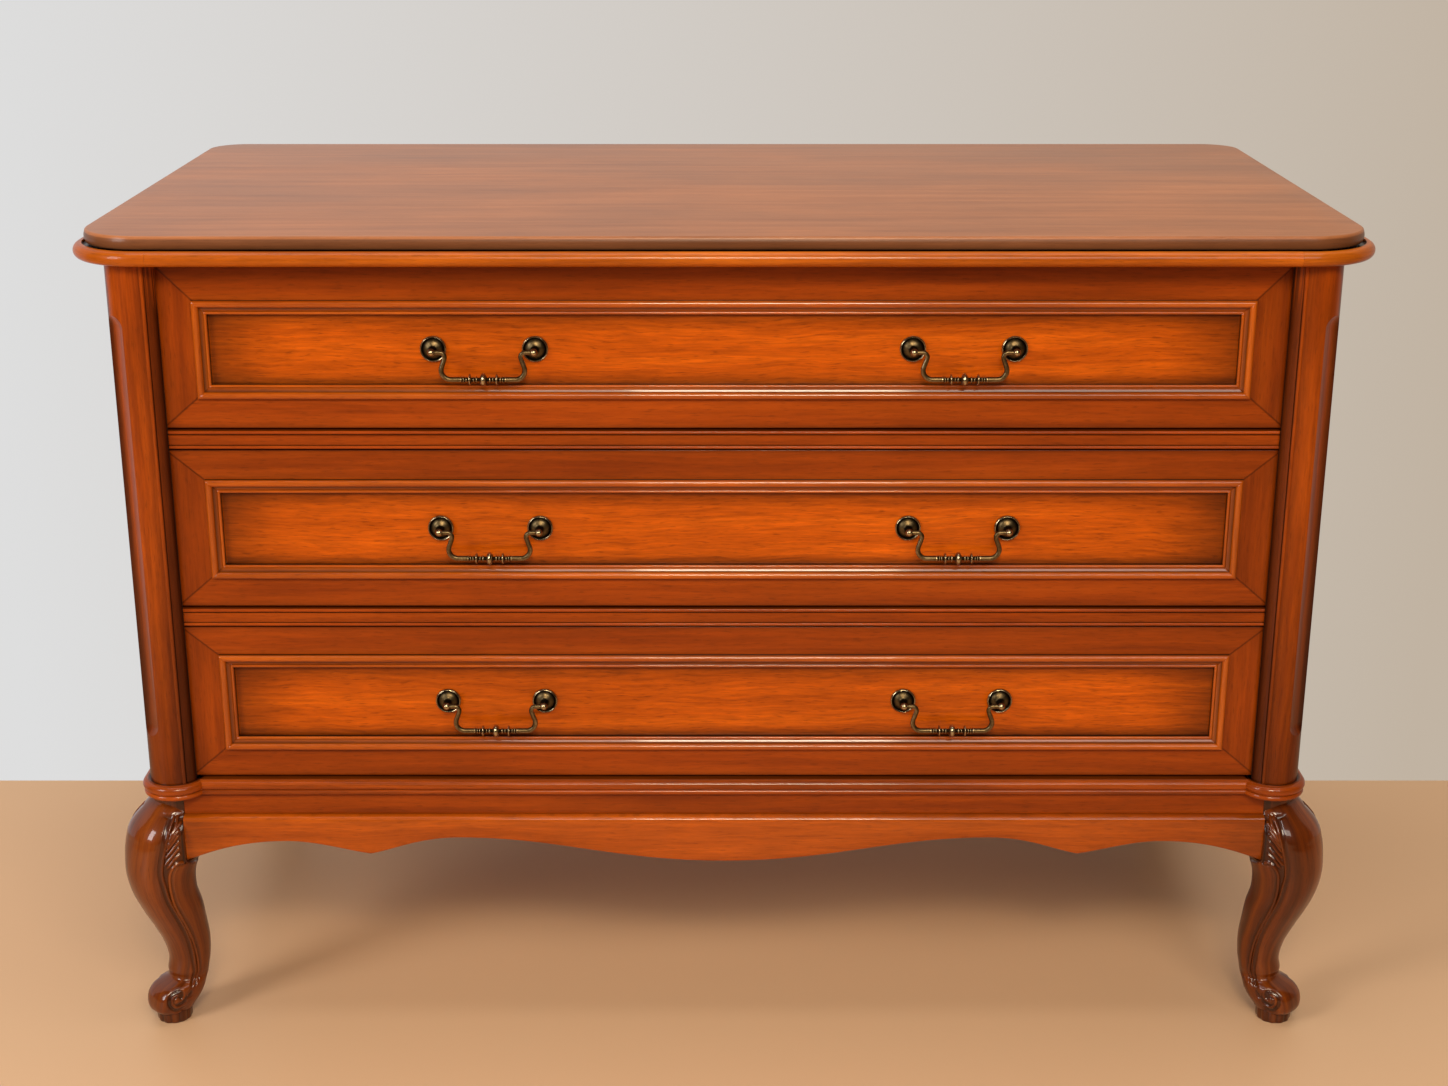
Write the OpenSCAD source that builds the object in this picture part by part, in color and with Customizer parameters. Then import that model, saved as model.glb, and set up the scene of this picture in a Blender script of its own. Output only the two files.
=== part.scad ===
// Commode chest of three drawers on cabriole legs, in millimetres.
// The origin is at the middle of the footprint, on the floor. The front faces -Y, +Z is up.
// Depths named *_back are measured backwards from the front edge of the top board.

/* [Top] */
// Width of the top board
board_w = 1200; // [1140:5:1260]
// Depth of the top board
board_d = 610; // [580:5:660]
// Thickness of the top board
board_h = 13; // [10:1:25]
// Plan radius of the board's front corners
board_front_r = 62; // [50:1:70]
// Plan radius of the board's back corners
board_back_r = 40; // [20:1:60]
// Height of the bullnose under the board
bull_h = 14; // [10:1:20]
// How far the bullnose stands out past the board
bull_out = 11; // [9:1:16]
// How far the bullnose reaches in under the board
bull_in = 25; // [18:1:30]
// Straight length of the bullnose's corner blocks on the front
bull_block = 10; // [5:1:40]

/* [Case] */
// How far the case's sides lie inside the board's ends
case_in = 23; // [14:1:40]
// Width of a corner post's front, from the drawers to the case's side
post_face = 41; // [39:0.5:46]
// Height of the lower drawer opening
lower_opening_h = 163; // [140:1:190]
// Height of the middle drawer opening
middle_opening_h = 162; // [140:1:190]
// Height of the upper drawer opening
upper_opening_h = 163; // [140:1:190]
// Thickness of the rails between the drawers
divider_h = 18; // [16:1:24]
// Depth of those rails
divider_d = 40; // [30:1:60]
// Radius of the rounded corner posts
column_r = 26; // [22:1:27]
// How far the corner posts' fronts lie behind the board's edge
column_back = 8; // [4:1:12]
// Depth of each corner post behind its rounded front
post_d = 50; // [40:1:60]
// Radius of the small bead between a corner post and the drawers
strip_r = 2.5; // [2:0.1:3]
// Radius of the hollow flute on a corner post
flute_r = 40; // [30:1:60]
// Depth of that flute
flute_depth = 4.5; // [2:0.5:6]
// Height of plain post left above and below the flute
flute_stop = 50; // [40:1:80]
// Thickness of the side panels
side_h = 18; // [15:1:22]
// How far the side panels lie inside the posts
side_recess = 3; // [1:0.5:6]
// Width of the rear posts
rear_post_w = 44; // [30:1:60]
// Thickness of the back panel
back_h = 6; // [4:1:10]
// How far the back panel lies inside the rear edge
back_recess = 6; // [3:1:15]
// How far the case's rear face lies inside the board's back edge
case_rear = 5; // [0:1:20]

/* [Base] */
// Height of the case's underside above the floor
stand_h = 237; // [210:1:260]
// Height of the flat band above the apron
band_h = 23; // [18:1:30]
// How far the band's face lies behind the board's edge
band_back = 23; // [21:1:26]
// Thickness of the band
band_d = 22; // [18:1:30]
// Height of the beaded moulding above the band
base_moulding_h = 16; // [14:1:20]
// How far that moulding stands out past the posts
base_moulding_out = 8; // [6:1:10]
// How far its straight front lies behind the board's edge
base_moulding_back = 16; // [14:1:18]
// Thickness of the bottom board
bottom_h = 12; // [9:1:18]
// Thickness of the aprons
apron_d = 22; // [18:1:26]
// How far the apron's face lies behind the board's edge
apron_back = 15; // [12:1:18]
// How far the side aprons stand out past the case's sides
side_apron_out = 8; // [4:1:12]
// Depth of the apron at its middle drop
apron_belly = 51; // [45:1:60]
// Depth of the apron at its high arches
apron_arch = 25; // [20:1:30]
// Depth of the apron at its cusps
apron_cusp = 43; // [38:1:48]
// Depth of the apron where it meets a leg
apron_end = 50; // [44:1:55]

/* [Legs] */
// How far the rear legs' corner lies inside the case's rear face
leg_rear_in = 36; // [30:1:80]
// How far the front legs' corner lies behind the board's edge
leg_corner_back = 31; // [26:1:34]
// Half width of the leg at its top
leg_top = 29; // [26:1:31]
// Half width of the leg at its knee
leg_knee = 37; // [33:0.5:38]
// Half width of the leg at its ankle
leg_ankle = 21.5; // [18:0.5:26]
// Half width of the leg at its scroll foot
leg_foot = 25; // [22:0.5:28]
// Radius of the scroll on each side of the foot
scroll_r = 13.5; // [10:0.5:16]
// Distance between the two faces of the scroll
scroll_w = 36; // [30:1:44]
// Radius of the round pad under each foot
pad_r = 17.5; // [14:0.5:22]
// Height of that pad
pad_h = 14; // [10:1:18]

/* [Drawers] */
// Gap around each drawer front
front_gap = 1.5; // [1:0.1:3]
// Gap between the drawer fronts and the posts
front_side_gap = 3; // [1.5:0.1:4]
// Thickness of the drawer fronts
front_d = 20; // [18:1:24]
// How far the drawer fronts' faces lie behind the board's edge
face_back = 27; // [25:1:30]
// Depth of the sunk field
field_depth = 4; // [2:0.5:6]
// Width of the veneered frame at the ends of a drawer front
frame_side = 35; // [30:1:45]
// Width of that frame along the top and bottom
frame_edge = 29; // [24:1:34]
// Width of the panel moulding
moulding_w = 14; // [12:1:18]
// How far the panel moulding stands out of the frame
moulding_out = 6; // [4:0.5:7]
// Thickness of the drawer sides and backs
drawer_side = 12; // [10:1:15]
// Free space between the drawers and the back panel
drawer_rear_gap = 46; // [10:1:120]
// Thickness of the drawer bottoms
drawer_bottom = 6; // [4:1:9]
// Height of the groove's lower edge above the side's lower edge
groove_up = 10; // [8:1:14]
// Depth of the grooves that hold the drawer bottoms
groove_depth = 5; // [3:1:6]
// How much lower the sides are than the opening
side_headroom = 14; // [10:1:30]
// How far the upper drawer's frame is set down, to clear the bullnose from above
top_reveal = 8; // [2:0.5:12]
// Running clearance under and beside a drawer
run_gap = 0.5; // [0.3:0.1:1]
// Gap between a drawer side and the post's inner face
guide_space = 14; // [12:1:20]
// Width of the runner that a drawer side rests on
runner_shelf = 20; // [15:1:30]
// Height of the guide above each runner
guide_h = 12; // [8:1:20]

/* [Pulls] */
// Distance of each pull's middle from the chest's middle
pull_x = 226; // [200:1:300]
// Distance between the two posts of a pull
pull_centres = 96; // [80:1:128]
// Radius of the round rosettes
rosette_r = 12.5; // [10:0.5:15]
// Thickness of the rosettes
rosette_h = 4.5; // [3:0.5:6]
// Radius of the post's neck
neck_r = 2.6; // [2.4:0.1:3.5]
// Radius of the ball on the end of each post
ball_r = 4.2; // [3.8:0.1:5]
// Distance from the sunk field to the bail's hinge line
pivot_out = 16; // [14:0.5:20]
// Radius of the bail's rod at its necks
rod_r = 2.2; // [1.8:0.1:2.6]
// Radius of the bail's bar
bar_r = 2.6; // [2.4:0.1:3.2]
// Radius of the bail's hinge pins
pin_r = 1.4; // [1.2:0.1:1.6]
// Running clearance around a hinge pin
pin_gap = 0.06; // [0.04:0.01:0.1]
// How far the bail hangs below its hinge line
bail_drop = 26; // [24:1:34]
// Distance from a post to the bail's upper bend
bend_in = 7.9; // [7:0.1:12]
// Radius of the bail's upper bends
bend_r = 4.5; // [4:0.5:6]
// Radius of the bail's lower bends
swan_r = 9; // [6:0.5:10]
// How far the swan necks lean outwards, in degrees
swan_lean = 20; // [10:1:25]
// Length of the turned middle of the bail's bar
turning_l = 43; // [36:1:46]
// Radius of the ball at the middle of that turning
turning_r = 5.2; // [4:0.1:6]
// Radius of the pull's threaded stud
stud_r = 2; // [1.5:0.1:2.5]
// Clearance around that stud in the drawer front
stud_gap = 0.25; // [0.1:0.05:0.5]
// Thickness of the nut on each stud
nut_h = 4; // [3:0.5:6]

/* [Hidden] */
$fn = 48;
PULLS = ["left", "right"];
LEVELS = ["lower", "middle", "upper"];

// Colours as they look in the room
CHERRY = "#a8521c";
FRAME = "#8a3a14";
FIELD = "#c46a26";
TOP = "#b5835f";
PALE = "#cdb08a";
BRASS = "#7d6a45";

// Places in the chest's own frame
case_w = board_w - 2 * case_in;
opening_w = case_w - 2 * post_face;
front_y = bull_out - (board_d + bull_out) / 2; // front edge of the board
rear_y = front_y + board_d;
case_rear_y = rear_y - case_rear;
band_top = stand_h + band_h;
case_bottom = band_top + base_moulding_h;
lower_zone = [case_bottom, case_bottom + lower_opening_h];
middle_zone = [lower_zone[1] + divider_h, lower_zone[1] + divider_h + middle_opening_h];
upper_zone = [middle_zone[1] + divider_h, middle_zone[1] + divider_h + upper_opening_h];
ZONES = [lower_zone, middle_zone, upper_zone];
case_top = upper_zone[1];
board_z = case_top + bull_h;
column_x = case_w / 2 - column_r;
column_y = front_y + column_back + column_r;
post_back_y = column_y + post_d;
face_y = front_y + face_back;
rear_post_y = case_rear_y - rear_post_w;
inner_side_x = case_w / 2 - side_recess - side_h;
drawer_side_x = opening_w / 2 - guide_space; // outer face of a drawer side
moulding_nose = column_r + base_moulding_out;
nose_y = front_y + base_moulding_back;
seam = 0.01; // keeps two cutters from ending on one face
quirk_w = 2.5; // width of the groove beside a column
quirk_d = 9; // its depth from the column's front
strip_back = 4.5; // from the column's front to the middle of the small bead
side_bead_y = column_y + 16; // place of the bead on the post's side
side_bead_r = 3;
rear_edge_r = 8; // rounding of the case's rear corners
rail_bead_r = 1.9; // the bead along both edges of a rail
rail_out = 2; // how far a rail stands in front of the drawers' faces
leg_corner_x = case_w / 2;
leg_inset = 33; // from a leg's corner to the end of the apron beside it
block_r = 27; // rounding of the block on top of a front leg
block_under = 8; // how far that block runs down into the knee
front_corner_y = front_y + leg_corner_back;
rear_corner_y = case_rear_y - leg_rear_in;
stand_d = rear_corner_y - front_corner_y; // from the front legs' corner to the rear legs' corner
apron_half = leg_corner_x - leg_inset;
side_apron_half = (stand_d - 2 * leg_inset) / 2;
apron_out = leg_corner_back - apron_back; // the front apron's face, in front of the legs' corner
rear_apron_h = 45; // height of the plain rear apron
arch_from_leg = 102; // from a leg to the high point of the front apron's outer arch
arch_to_cusp = 84; // from there to the pointed drop
cusp_to_inner = 90; // and on to the high point of the inner arch
front_arch_x = apron_half - arch_from_leg;
front_cusp_x = front_arch_x - arch_to_cusp;
front_inner_x = front_cusp_x - cusp_to_inner;
outer_arch = apron_arch + 4; // depth of the apron at its outer arches
cusp_rise = 4; // steepness of the outline at the pointed drops
end_rise = 10; // and where it meets a leg
apron_swell = 5; // how far an apron's face swells, and the rounding of its top edge
scroll_out = 3; // how far the scroll lies outside the leg's corner, along the diagonal
pad_in = 3.5; // how far the pad's middle lies inside that corner
pad_round = 2; // height of the pad's shoulder
side_lift = 1; // a drawer side's lower edge above its opening's
thread_gap = 0.05; // between a stud and its nut
glue_gap = 0.05; // between the pieces of a drawer front
leg_sides = 28; // points round each section of a leg
leg_rings = 34; // sections down a leg
arm_steps = 7; // pieces of each bend of a bail

function level_index(level) = search([level], LEVELS)[0];
function hand_sign(hand) = hand == "left" ? -1 : 1;

// Mirrors a piece drawn for the right (+X) side to the named side
module on_side(hand) {
    if (hand == "left") mirror([1, 0, 0]) children();
    else children();
}

// A rectangle from corner to corner
module span(low, high) {
    translate(low) cube(high - low);
}

// TOP

// Plan of a board with two corner radii: front corners r_front, back corners r_back
module board_plan(w, y_low, y_high, r_front, r_back) {
    translate([-w / 2, y_low + r_front]) square([w, y_high - y_low - r_front - r_back]);
    translate([-w / 2 + r_front, y_low]) square([w - 2 * r_front, r_front + 1]);
    translate([-w / 2 + r_back, y_high - r_back - 1]) square([w - 2 * r_back, r_back + 1]);
    for (s = [-1, 1]) {
        translate([s * (w / 2 - r_front), y_low + r_front]) circle(r_front);
        translate([s * (w / 2 - r_back), y_high - r_back]) circle(r_back);
    }
}

module top_board() {
    color(TOP) translate([0, 0, board_z]) linear_extrude(board_h)
        board_plan(board_w, front_y, rear_y, board_front_r, board_back_r);
}

// The frame that the top board is screwed to, inside the bullnose and open to it at the back
module sub_top() {
    inner_front_r = board_front_r - bull_in;
    inner_back_r = board_back_r - bull_in;
    back_half = board_w / 2 - board_back_r;
    color(PALE) translate([0, 0, case_top]) linear_extrude(bull_h) {
        board_plan(board_w - 2 * bull_in, front_y + bull_in, rear_y - bull_in,
            inner_front_r, inner_back_r);
        translate([-back_half, rear_y - bull_in - 1]) square([2 * back_half, bull_in + 1]);
    }
}

// Section of the bullnose: x is the distance from the corner's centre, y the height
module bull_section(r) {
    translate([r - bull_in, 0]) square([bull_in + bull_out - bull_h / 2, bull_h]);
    translate([r + bull_out - bull_h / 2, bull_h / 2]) circle(bull_h / 2);
}

module bullnose_front() {
    half = board_w / 2 - board_front_r - bull_block;
    color(CHERRY) translate([-half, front_y + board_front_r, case_top])
        rotate([90, 0, 90]) linear_extrude(2 * half) mirror([1, 0]) bull_section(board_front_r);
}

// Corner block and side run in one piece, down to the board's back edge
module bullnose_side(hand) {
    cx = board_w / 2 - board_front_r;
    bx = board_w / 2 - board_back_r;
    color(CHERRY) on_side(hand) translate([0, 0, case_top]) intersection() {
        union() {
            translate([cx - bull_block, front_y + board_front_r, 0]) rotate([90, 0, 90])
                linear_extrude(bull_block) mirror([1, 0]) bull_section(board_front_r);
            translate([cx, front_y + board_front_r, 0])
                rotate([0, 0, -90]) rotate_extrude(angle = 90, $fn = 96) bull_section(board_front_r);
            translate([cx, front_y + board_front_r, 0]) rotate([90, 0, 0]) mirror([0, 0, 1])
                linear_extrude(board_d - board_front_r - board_back_r) bull_section(board_front_r);
            translate([bx, rear_y - board_back_r, 0])
                rotate_extrude(angle = 90, $fn = 96) bull_section(board_back_r);
        }
        span([0, -board_d, -1], [board_w, rear_y, bull_h + 1]);
    }
}

// CASE

// Plan of a corner post on the right side: the rounded column, its body and the small beads
module post_plan() {
    inner = opening_w / 2;
    strip_front = column_y - column_r + strip_back;
    difference() {
        union() {
            translate([column_x, column_y]) circle(column_r, $fn = 96);
            translate([inner, column_y]) square([case_w / 2 - inner, post_d]);
            translate([inner, strip_front]) square([2 * strip_r, column_y - strip_front + 1]);
            translate([inner + strip_r, strip_front]) circle(strip_r);
        }
        // Everything on the drawers' side of the post's inner face
        translate([inner - 2 * column_r, column_y - 2 * column_r])
            square([2 * column_r, 3 * column_r]);
        // The dark quirk between the column and the bead
        translate([inner + 2 * strip_r, column_y - column_r - 1]) square([quirk_w, quirk_d]);
    }
}

// Scooped cutter for the flute: a long hollow with rounded ends
module flute() {
    turn = 45; // the flute looks out over the corner
    dist = column_r - flute_depth + flute_r;
    run_out = sqrt(pow(flute_r, 2) - pow(dist - column_r, 2)); // the scoop's rise past its centre
    low = case_bottom + flute_stop + run_out;
    high = case_top - flute_stop - run_out;
    translate([column_x, column_y, 0]) rotate([0, 0, -turn]) translate([dist, 0, low]) {
        cylinder(r = flute_r, h = high - low, $fn = 96);
        sphere(flute_r, $fn = 96);
        translate([0, 0, high - low]) sphere(flute_r, $fn = 96);
    }
}

module corner_post(hand) {
    color(CHERRY) on_side(hand) {
        difference() {
            translate([0, 0, band_top]) linear_extrude(case_top - band_top) post_plan();
            flute();
            // Room for the base moulding behind the small bead
            span([0, front_y, band_top - 1],
                 [opening_w / 2 + 2 * strip_r + quirk_w, column_y, case_bottom]);
        }
        translate([case_w / 2 - seam, side_bead_y, case_bottom])
            cylinder(r = side_bead_r, h = case_top - case_bottom);
    }
}

module rear_post(hand) {
    color(CHERRY) on_side(hand) translate([0, 0, stand_h]) linear_extrude(case_top - stand_h)
        union() {
            translate([case_w / 2 - rear_post_w, rear_post_y])
                square([rear_post_w, rear_post_w - rear_edge_r]);
            translate([case_w / 2 - rear_post_w, rear_post_y])
                square([rear_post_w - rear_edge_r, rear_post_w]);
            translate([case_w / 2 - rear_edge_r, case_rear_y - rear_edge_r]) circle(rear_edge_r);
        }
}

// Upper panel between the posts, and the flush band under the base moulding
module side_panel(hand) {
    color(CHERRY) on_side(hand) {
        span([inner_side_x, post_back_y, case_bottom],
             [case_w / 2 - side_recess, rear_post_y, case_top]);
        span([inner_side_x, post_back_y, band_top], [case_w / 2, rear_post_y, case_bottom]);
        span([inner_side_x, front_corner_y + leg_inset, stand_h], [case_w / 2, rear_post_y, band_top]);
    }
}

module back_panel() {
    half = case_w / 2 - rear_post_w;
    color(PALE) span([-half, case_rear_y - back_recess - back_h, case_bottom],
                     [half, case_rear_y - back_recess, case_top]);
}

module rear_rail() {
    half = case_w / 2 - rear_post_w;
    color(CHERRY) span([-half, rear_post_y, stand_h + bottom_h],
                       [half, case_rear_y - back_recess, case_bottom]);
}

module bottom_board() {
    notch = case_w / 2 - rear_post_w;
    color(PALE) difference() {
        span([-inner_side_x, front_y + band_back + band_d, stand_h],
             [inner_side_x, case_rear_y - back_recess, stand_h + bottom_h]);
        for (s = [-1, 1]) {
            mirror([s < 0 ? 1 : 0, 0, 0]) {
                span([notch, rear_post_y, stand_h - 1], [case_w, rear_y, band_top]);
                span([apron_half, front_y, stand_h - 1], [case_w, front_corner_y + leg_inset, band_top]);
            }
        }
    }
}

// A rail between two drawers, with a bead along both front edges
module divider(z) {
    half = opening_w / 2;
    face = face_y - rail_out;
    color(CHERRY) {
        span([-half, face, z], [half, face + divider_d, z + divider_h]);
        for (h = [rail_bead_r, divider_h - rail_bead_r])
            translate([-half, face, z + h]) rotate([0, 90, 0]) cylinder(r = rail_bead_r, h = 2 * half);
    }
}

// Three L-shaped runners on one side: a shelf under the drawer side and a guide beside it
module runners(hand) {
    color(PALE) on_side(hand) for (i = [0:2]) {
        top = side_low(i) - run_gap;
        guide_x = drawer_side_x + run_gap;
        difference() {
            span([guide_x - runner_shelf, post_back_y, top - divider_h],
                 [inner_side_x, rear_post_y, top + guide_h]);
            span([guide_x - runner_shelf - 1, post_back_y - 1, top],
                 [guide_x, rear_post_y + 1, top + guide_h + 1]);
        }
    }
}

// BASE

module band_front() {
    color(CHERRY) span([-apron_half, front_y + band_back, stand_h],
                       [apron_half, front_y + band_back + band_d, band_top]);
}

// Section of the base moulding: x outwards from the wall it lies on, y up.
// A large round at the top and a small bead at the bottom, with a quirk between them.
module base_section(out) {
    big_r = 0.32 * base_moulding_h;
    small_r = 0.19 * base_moulding_h;
    bead_in = 1; // how far the small bead lies inside the large round
    quirk_in = 0.6; // the quirk's share of the stand-out
    intersection() {
        union() {
            square([out * quirk_in, base_moulding_h]);
            translate([out - big_r, base_moulding_h - big_r]) circle(big_r);
            translate([0, base_moulding_h - 2 * big_r]) square([out - big_r, 2 * big_r]);
            translate([out - bead_in - small_r, small_r]) circle(small_r);
            square([out - bead_in - small_r, 2 * small_r]);
        }
        square([out, base_moulding_h]);
    }
}

// The straight front is coped around the round corner pieces
module base_moulding_front() {
    half = opening_w / 2;
    wall_y = face_y + front_d;
    color(CHERRY) difference() {
        translate([-half, wall_y, band_top]) rotate([90, 0, 90])
            linear_extrude(2 * half) mirror([1, 0]) base_section(wall_y - nose_y);
        for (s = [-1, 1]) intersection() {
            translate([s * column_x, column_y, band_top - 1])
                cylinder(r = moulding_nose, h = base_moulding_h + 2, $fn = 96);
            span([-case_w, front_y - column_r, band_top - 1], [case_w, column_y, case_bottom + 1]);
        }
    }
}

module base_moulding_side(hand) {
    color(CHERRY) on_side(hand) translate([0, 0, band_top]) {
        translate([column_x, column_y, 0]) rotate([0, 0, 180])
            rotate_extrude(angle = 180, $fn = 96)
            translate([column_r, 0]) base_section(base_moulding_out);
        translate([case_w / 2, column_y, 0]) rotate([90, 0, 0]) mirror([0, 0, 1])
            linear_extrude(case_rear_y - column_y) base_section(base_moulding_out);
    }
}

// Outline of an apron: x along it from its middle, y downwards from its top edge.
// Each stretch is a cubic curve between two named depths.
function bezier(p, n) = [for (i = [0:n - 1]) let (t = i / n, u = 1 - t)
    u*u*u*p[0] + 3*u*u*t*p[1] + 3*u*t*t*p[2] + t*t*t*p[3]];
// A stretch keeps its direction for a share of its length, lead, at its start, and trail at its end.
// rise_a and rise_b tilt those ends, which makes the pointed drops.
function stretch(a, b, lead, trail, rise_a, rise_b, steps) = let (run = b[0] - a[0])
    bezier([a, a + [lead * run, rise_a], b + [-trail * run, rise_b], b], steps);
function half_edge(half, arch_x, cusp_x, inner_x, steps) = let (
    belly = [0, -apron_belly], inner = [inner_x, -apron_arch], cusp = [cusp_x, -apron_cusp],
    arch = [arch_x, -outer_arch], end = [half, -apron_end]) concat(
    stretch(belly, inner, 0.42, 0.38, 0, 0, steps),
    stretch(inner, cusp, 0.45, 0.25, 0, cusp_rise, steps),
    stretch(cusp, arch, 0.3, 0.35, cusp_rise, 0, steps),
    stretch(arch, end, 0.45, 0.25, 0, end_rise, steps),
    [end]);
function both_halves(points) = concat(
    points, [[points[len(points) - 1][0], 0], [-points[len(points) - 1][0], 0]],
    [for (i = [len(points) - 1:-1:1]) [-points[i][0], points[i][1]]]);

// Front to back section of an apron: the face swells a little and its top edge is rounded
module apron_section(depth) {
    swell = apron_swell;
    polygon(concat(
        [[apron_d, 1], [apron_d, -depth]],
        [for (i = [0:8]) [swell * pow(1 - i / 8, 2) * 0.8, -depth + i / 8 * (depth - swell)]],
        [for (a = [0:15:90]) [swell * (1 - cos(a)), -swell * (1 - sin(a))]],
        [[swell, 1]]));
}

// An apron that runs along X with its face at y = 0 and its top at z = 0
module apron(half, arch_x, cusp_x, inner_x, steps) {
    intersection() {
        rotate([90, 0, 0]) translate([0, 0, -apron_d - 1]) linear_extrude(apron_d + 2)
            polygon(both_halves(half_edge(half, arch_x, cusp_x, inner_x, steps)));
        translate([-half, 0, 0]) rotate([90, 0, 90]) linear_extrude(2 * half)
            apron_section(apron_belly + 1);
    }
}

module apron_front() {
    color(CHERRY) translate([0, front_y + apron_back, stand_h])
        apron(apron_half, front_arch_x, front_cusp_x, front_inner_x, 12);
}

// The side aprons keep the front's drops on a shorter length
module apron_side(hand) {
    color(CHERRY) on_side(hand)
        translate([leg_corner_x + side_apron_out, front_corner_y + stand_d / 2, stand_h])
        rotate([0, 0, 90]) apron(side_apron_half, 0.8 * side_apron_half, 0.64 * side_apron_half,
            0.48 * side_apron_half, 8);
}

module apron_rear() {
    color(CHERRY) translate([0, rear_corner_y + apron_out, stand_h])
        span([-apron_half, -apron_d, -rear_apron_h], [apron_half, 0, 0]);
}

// LEGS

// Stations down a leg: height, distance of the section's middle inside the corner, half width,
// and how square the section is. Both plan directions are alike, so the leg turns out diagonally.
function stations() = [
    [band_top, leg_top - 3, leg_top, 0.02],
    [0.93 * stand_h, 7, 0.97 * leg_knee, 0.06],
    [0.80 * stand_h, 2, leg_knee, 0.06],
    [0.665 * stand_h, 2.5, 0.97 * leg_knee, 0.05],
    [0.545 * stand_h, 9, 0.82 * leg_knee, 0.03],
    [0.42 * stand_h, 15, 1.14 * leg_ankle, 0.01],
    [0.32 * stand_h, 17.8, leg_ankle, 0],
    [0.24 * stand_h, 17.5, 0.98 * leg_ankle, 0],
    [0.185 * stand_h, 14, 1.06 * leg_ankle, 0],
    [0.14 * stand_h, 7, leg_foot, 0],
    [0.095 * stand_h, 4, leg_foot, 0],
    [pad_h + 1, 4, 0.8 * leg_foot, 0],
    [pad_h - 2, 4, 0.6 * leg_foot, 0]];

// A smooth curve through the stations (Catmull-Rom), at place u counted in stations
function blend(a, b, c, d, t) = 0.5 * (2*b + (c - a)*t + (2*a - 5*b + 4*c - d)*t*t
    + (3*b - a - 3*c + d)*t*t*t);
function station_at(s, u) = let (n = len(s) - 1, i = min(floor(u), n - 1))
    blend(s[max(i - 1, 0)], s[i], s[i + 1], s[min(i + 2, n)], u - i);

// The loft, drawn with its corner at the origin, the outside of the corner towards +X -Y
module leg_loft() {
    s = stations();
    ring = [for (k = [0:leg_rings - 1])
        let (st = station_at(s, k * (len(s) - 1) / (leg_rings - 1)),
             flat = k > leg_rings * 0.7 ? 0.8 : 1) // the scroll foot is narrower than it is long
        [for (j = [0:leg_sides - 1])
            let (a = 360 * j / leg_sides, // angle from the diagonal
                 r = st[2] * (1 + st[3] * cos(4 * a)),
                 along = r * cos(a) * (2 - flat), across = r * sin(a) * flat)
            [-st[1] + (along + across) / sqrt(2), st[1] - (along - across) / sqrt(2), st[0]]]];
    points = [for (r = ring) each r];
    n = leg_sides;
    last = n * (leg_rings - 1);
    polyhedron(points, concat(
        [for (k = [0:leg_rings - 2]) for (j = [0:n - 1]) let (a = k * n + j, b = k * n + (j + 1) % n)
            each [[a, b, b + n], [a, b + n, a + n]]],
        [[for (j = [n - 1:-1:0]) j], [for (j = [0:n - 1]) last + j]]));
}

// The turned scroll on both sides of the foot, with its axis across the diagonal
module foot_scroll() {
    rotate([0, 0, -45]) translate([scroll_out - scroll_r, 0, pad_h + scroll_r]) rotate([90, 0, 0]) {
        cylinder(r = scroll_r, h = scroll_w, center = true);
        cylinder(r = 0.5 * scroll_r, h = scroll_w + 4, center = true);
    }
}

module pad() {
    translate([-pad_in, pad_in, 0]) {
        cylinder(r = pad_r, h = pad_h - pad_round);
        translate([0, 0, pad_h - pad_round]) cylinder(r = pad_r - pad_round, h = pad_round + 1);
    }
}

// The block at the top of a front leg that turns the band round the corner and carries a post
module corner_block() {
    front = band_back - leg_corner_back; // flush with the band
    translate([0, 0, stand_h - block_under]) linear_extrude(band_h + block_under) {
        translate([-block_r, front + block_r]) circle(block_r, $fn = 96);
        translate([-leg_inset, front]) square([leg_inset - block_r, leg_inset - front]);
        translate([-leg_inset, front + block_r]) square([leg_inset, leg_inset - front - block_r]);
    }
}

// A leg drawn for the front right corner. The rear legs stop under the case.
module leg(x_hand, y_front) {
    corner_y = y_front ? front_corner_y : rear_corner_y;
    color(CHERRY) translate([x_hand == "left" ? -leg_corner_x : leg_corner_x, corner_y, 0])
        mirror([x_hand == "left" ? 1 : 0, 0, 0]) mirror([0, y_front ? 0 : 1, 0])
        difference() {
            union() {
                leg_loft();
                foot_scroll();
                pad();
                if (y_front) corner_block();
            }
            // Seats for the two aprons, the band and the board above
            seats(y_front);
        }
}

module seats(y_front) {
    side = 90; // larger than any section of the leg
    low = stand_h - apron_belly - 20;
    high = band_top + 1;
    span([-side, -apron_out, low], [-leg_inset, side, high]);
    span([-side, leg_inset, low], [side_apron_out, side, high]);
    span([-side, -side, stand_h], [-leg_inset, side, high]);
    if (!y_front) span([-side, -side, stand_h], [0, side, high]);
}

// DRAWERS

// Heights of a drawer front
function front_low(i) = ZONES[i][0] + front_gap;
function front_high(i) = ZONES[i][1] - front_gap;
front_half = opening_w / 2 - front_side_gap;
field_half = front_half - frame_side - moulding_w;
function field_low(i) = front_low(i) + frame_edge + moulding_w;
function field_high(i) = min(front_high(i), case_top - top_reveal) - frame_edge - moulding_w;
function pull_z(i) = (field_low(i) + field_high(i)) / 2;
field_y = face_y + field_depth;
back_y = face_y + front_d;
drawer_len = case_rear_y - back_recess - back_h - drawer_rear_gap - back_y;

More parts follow.
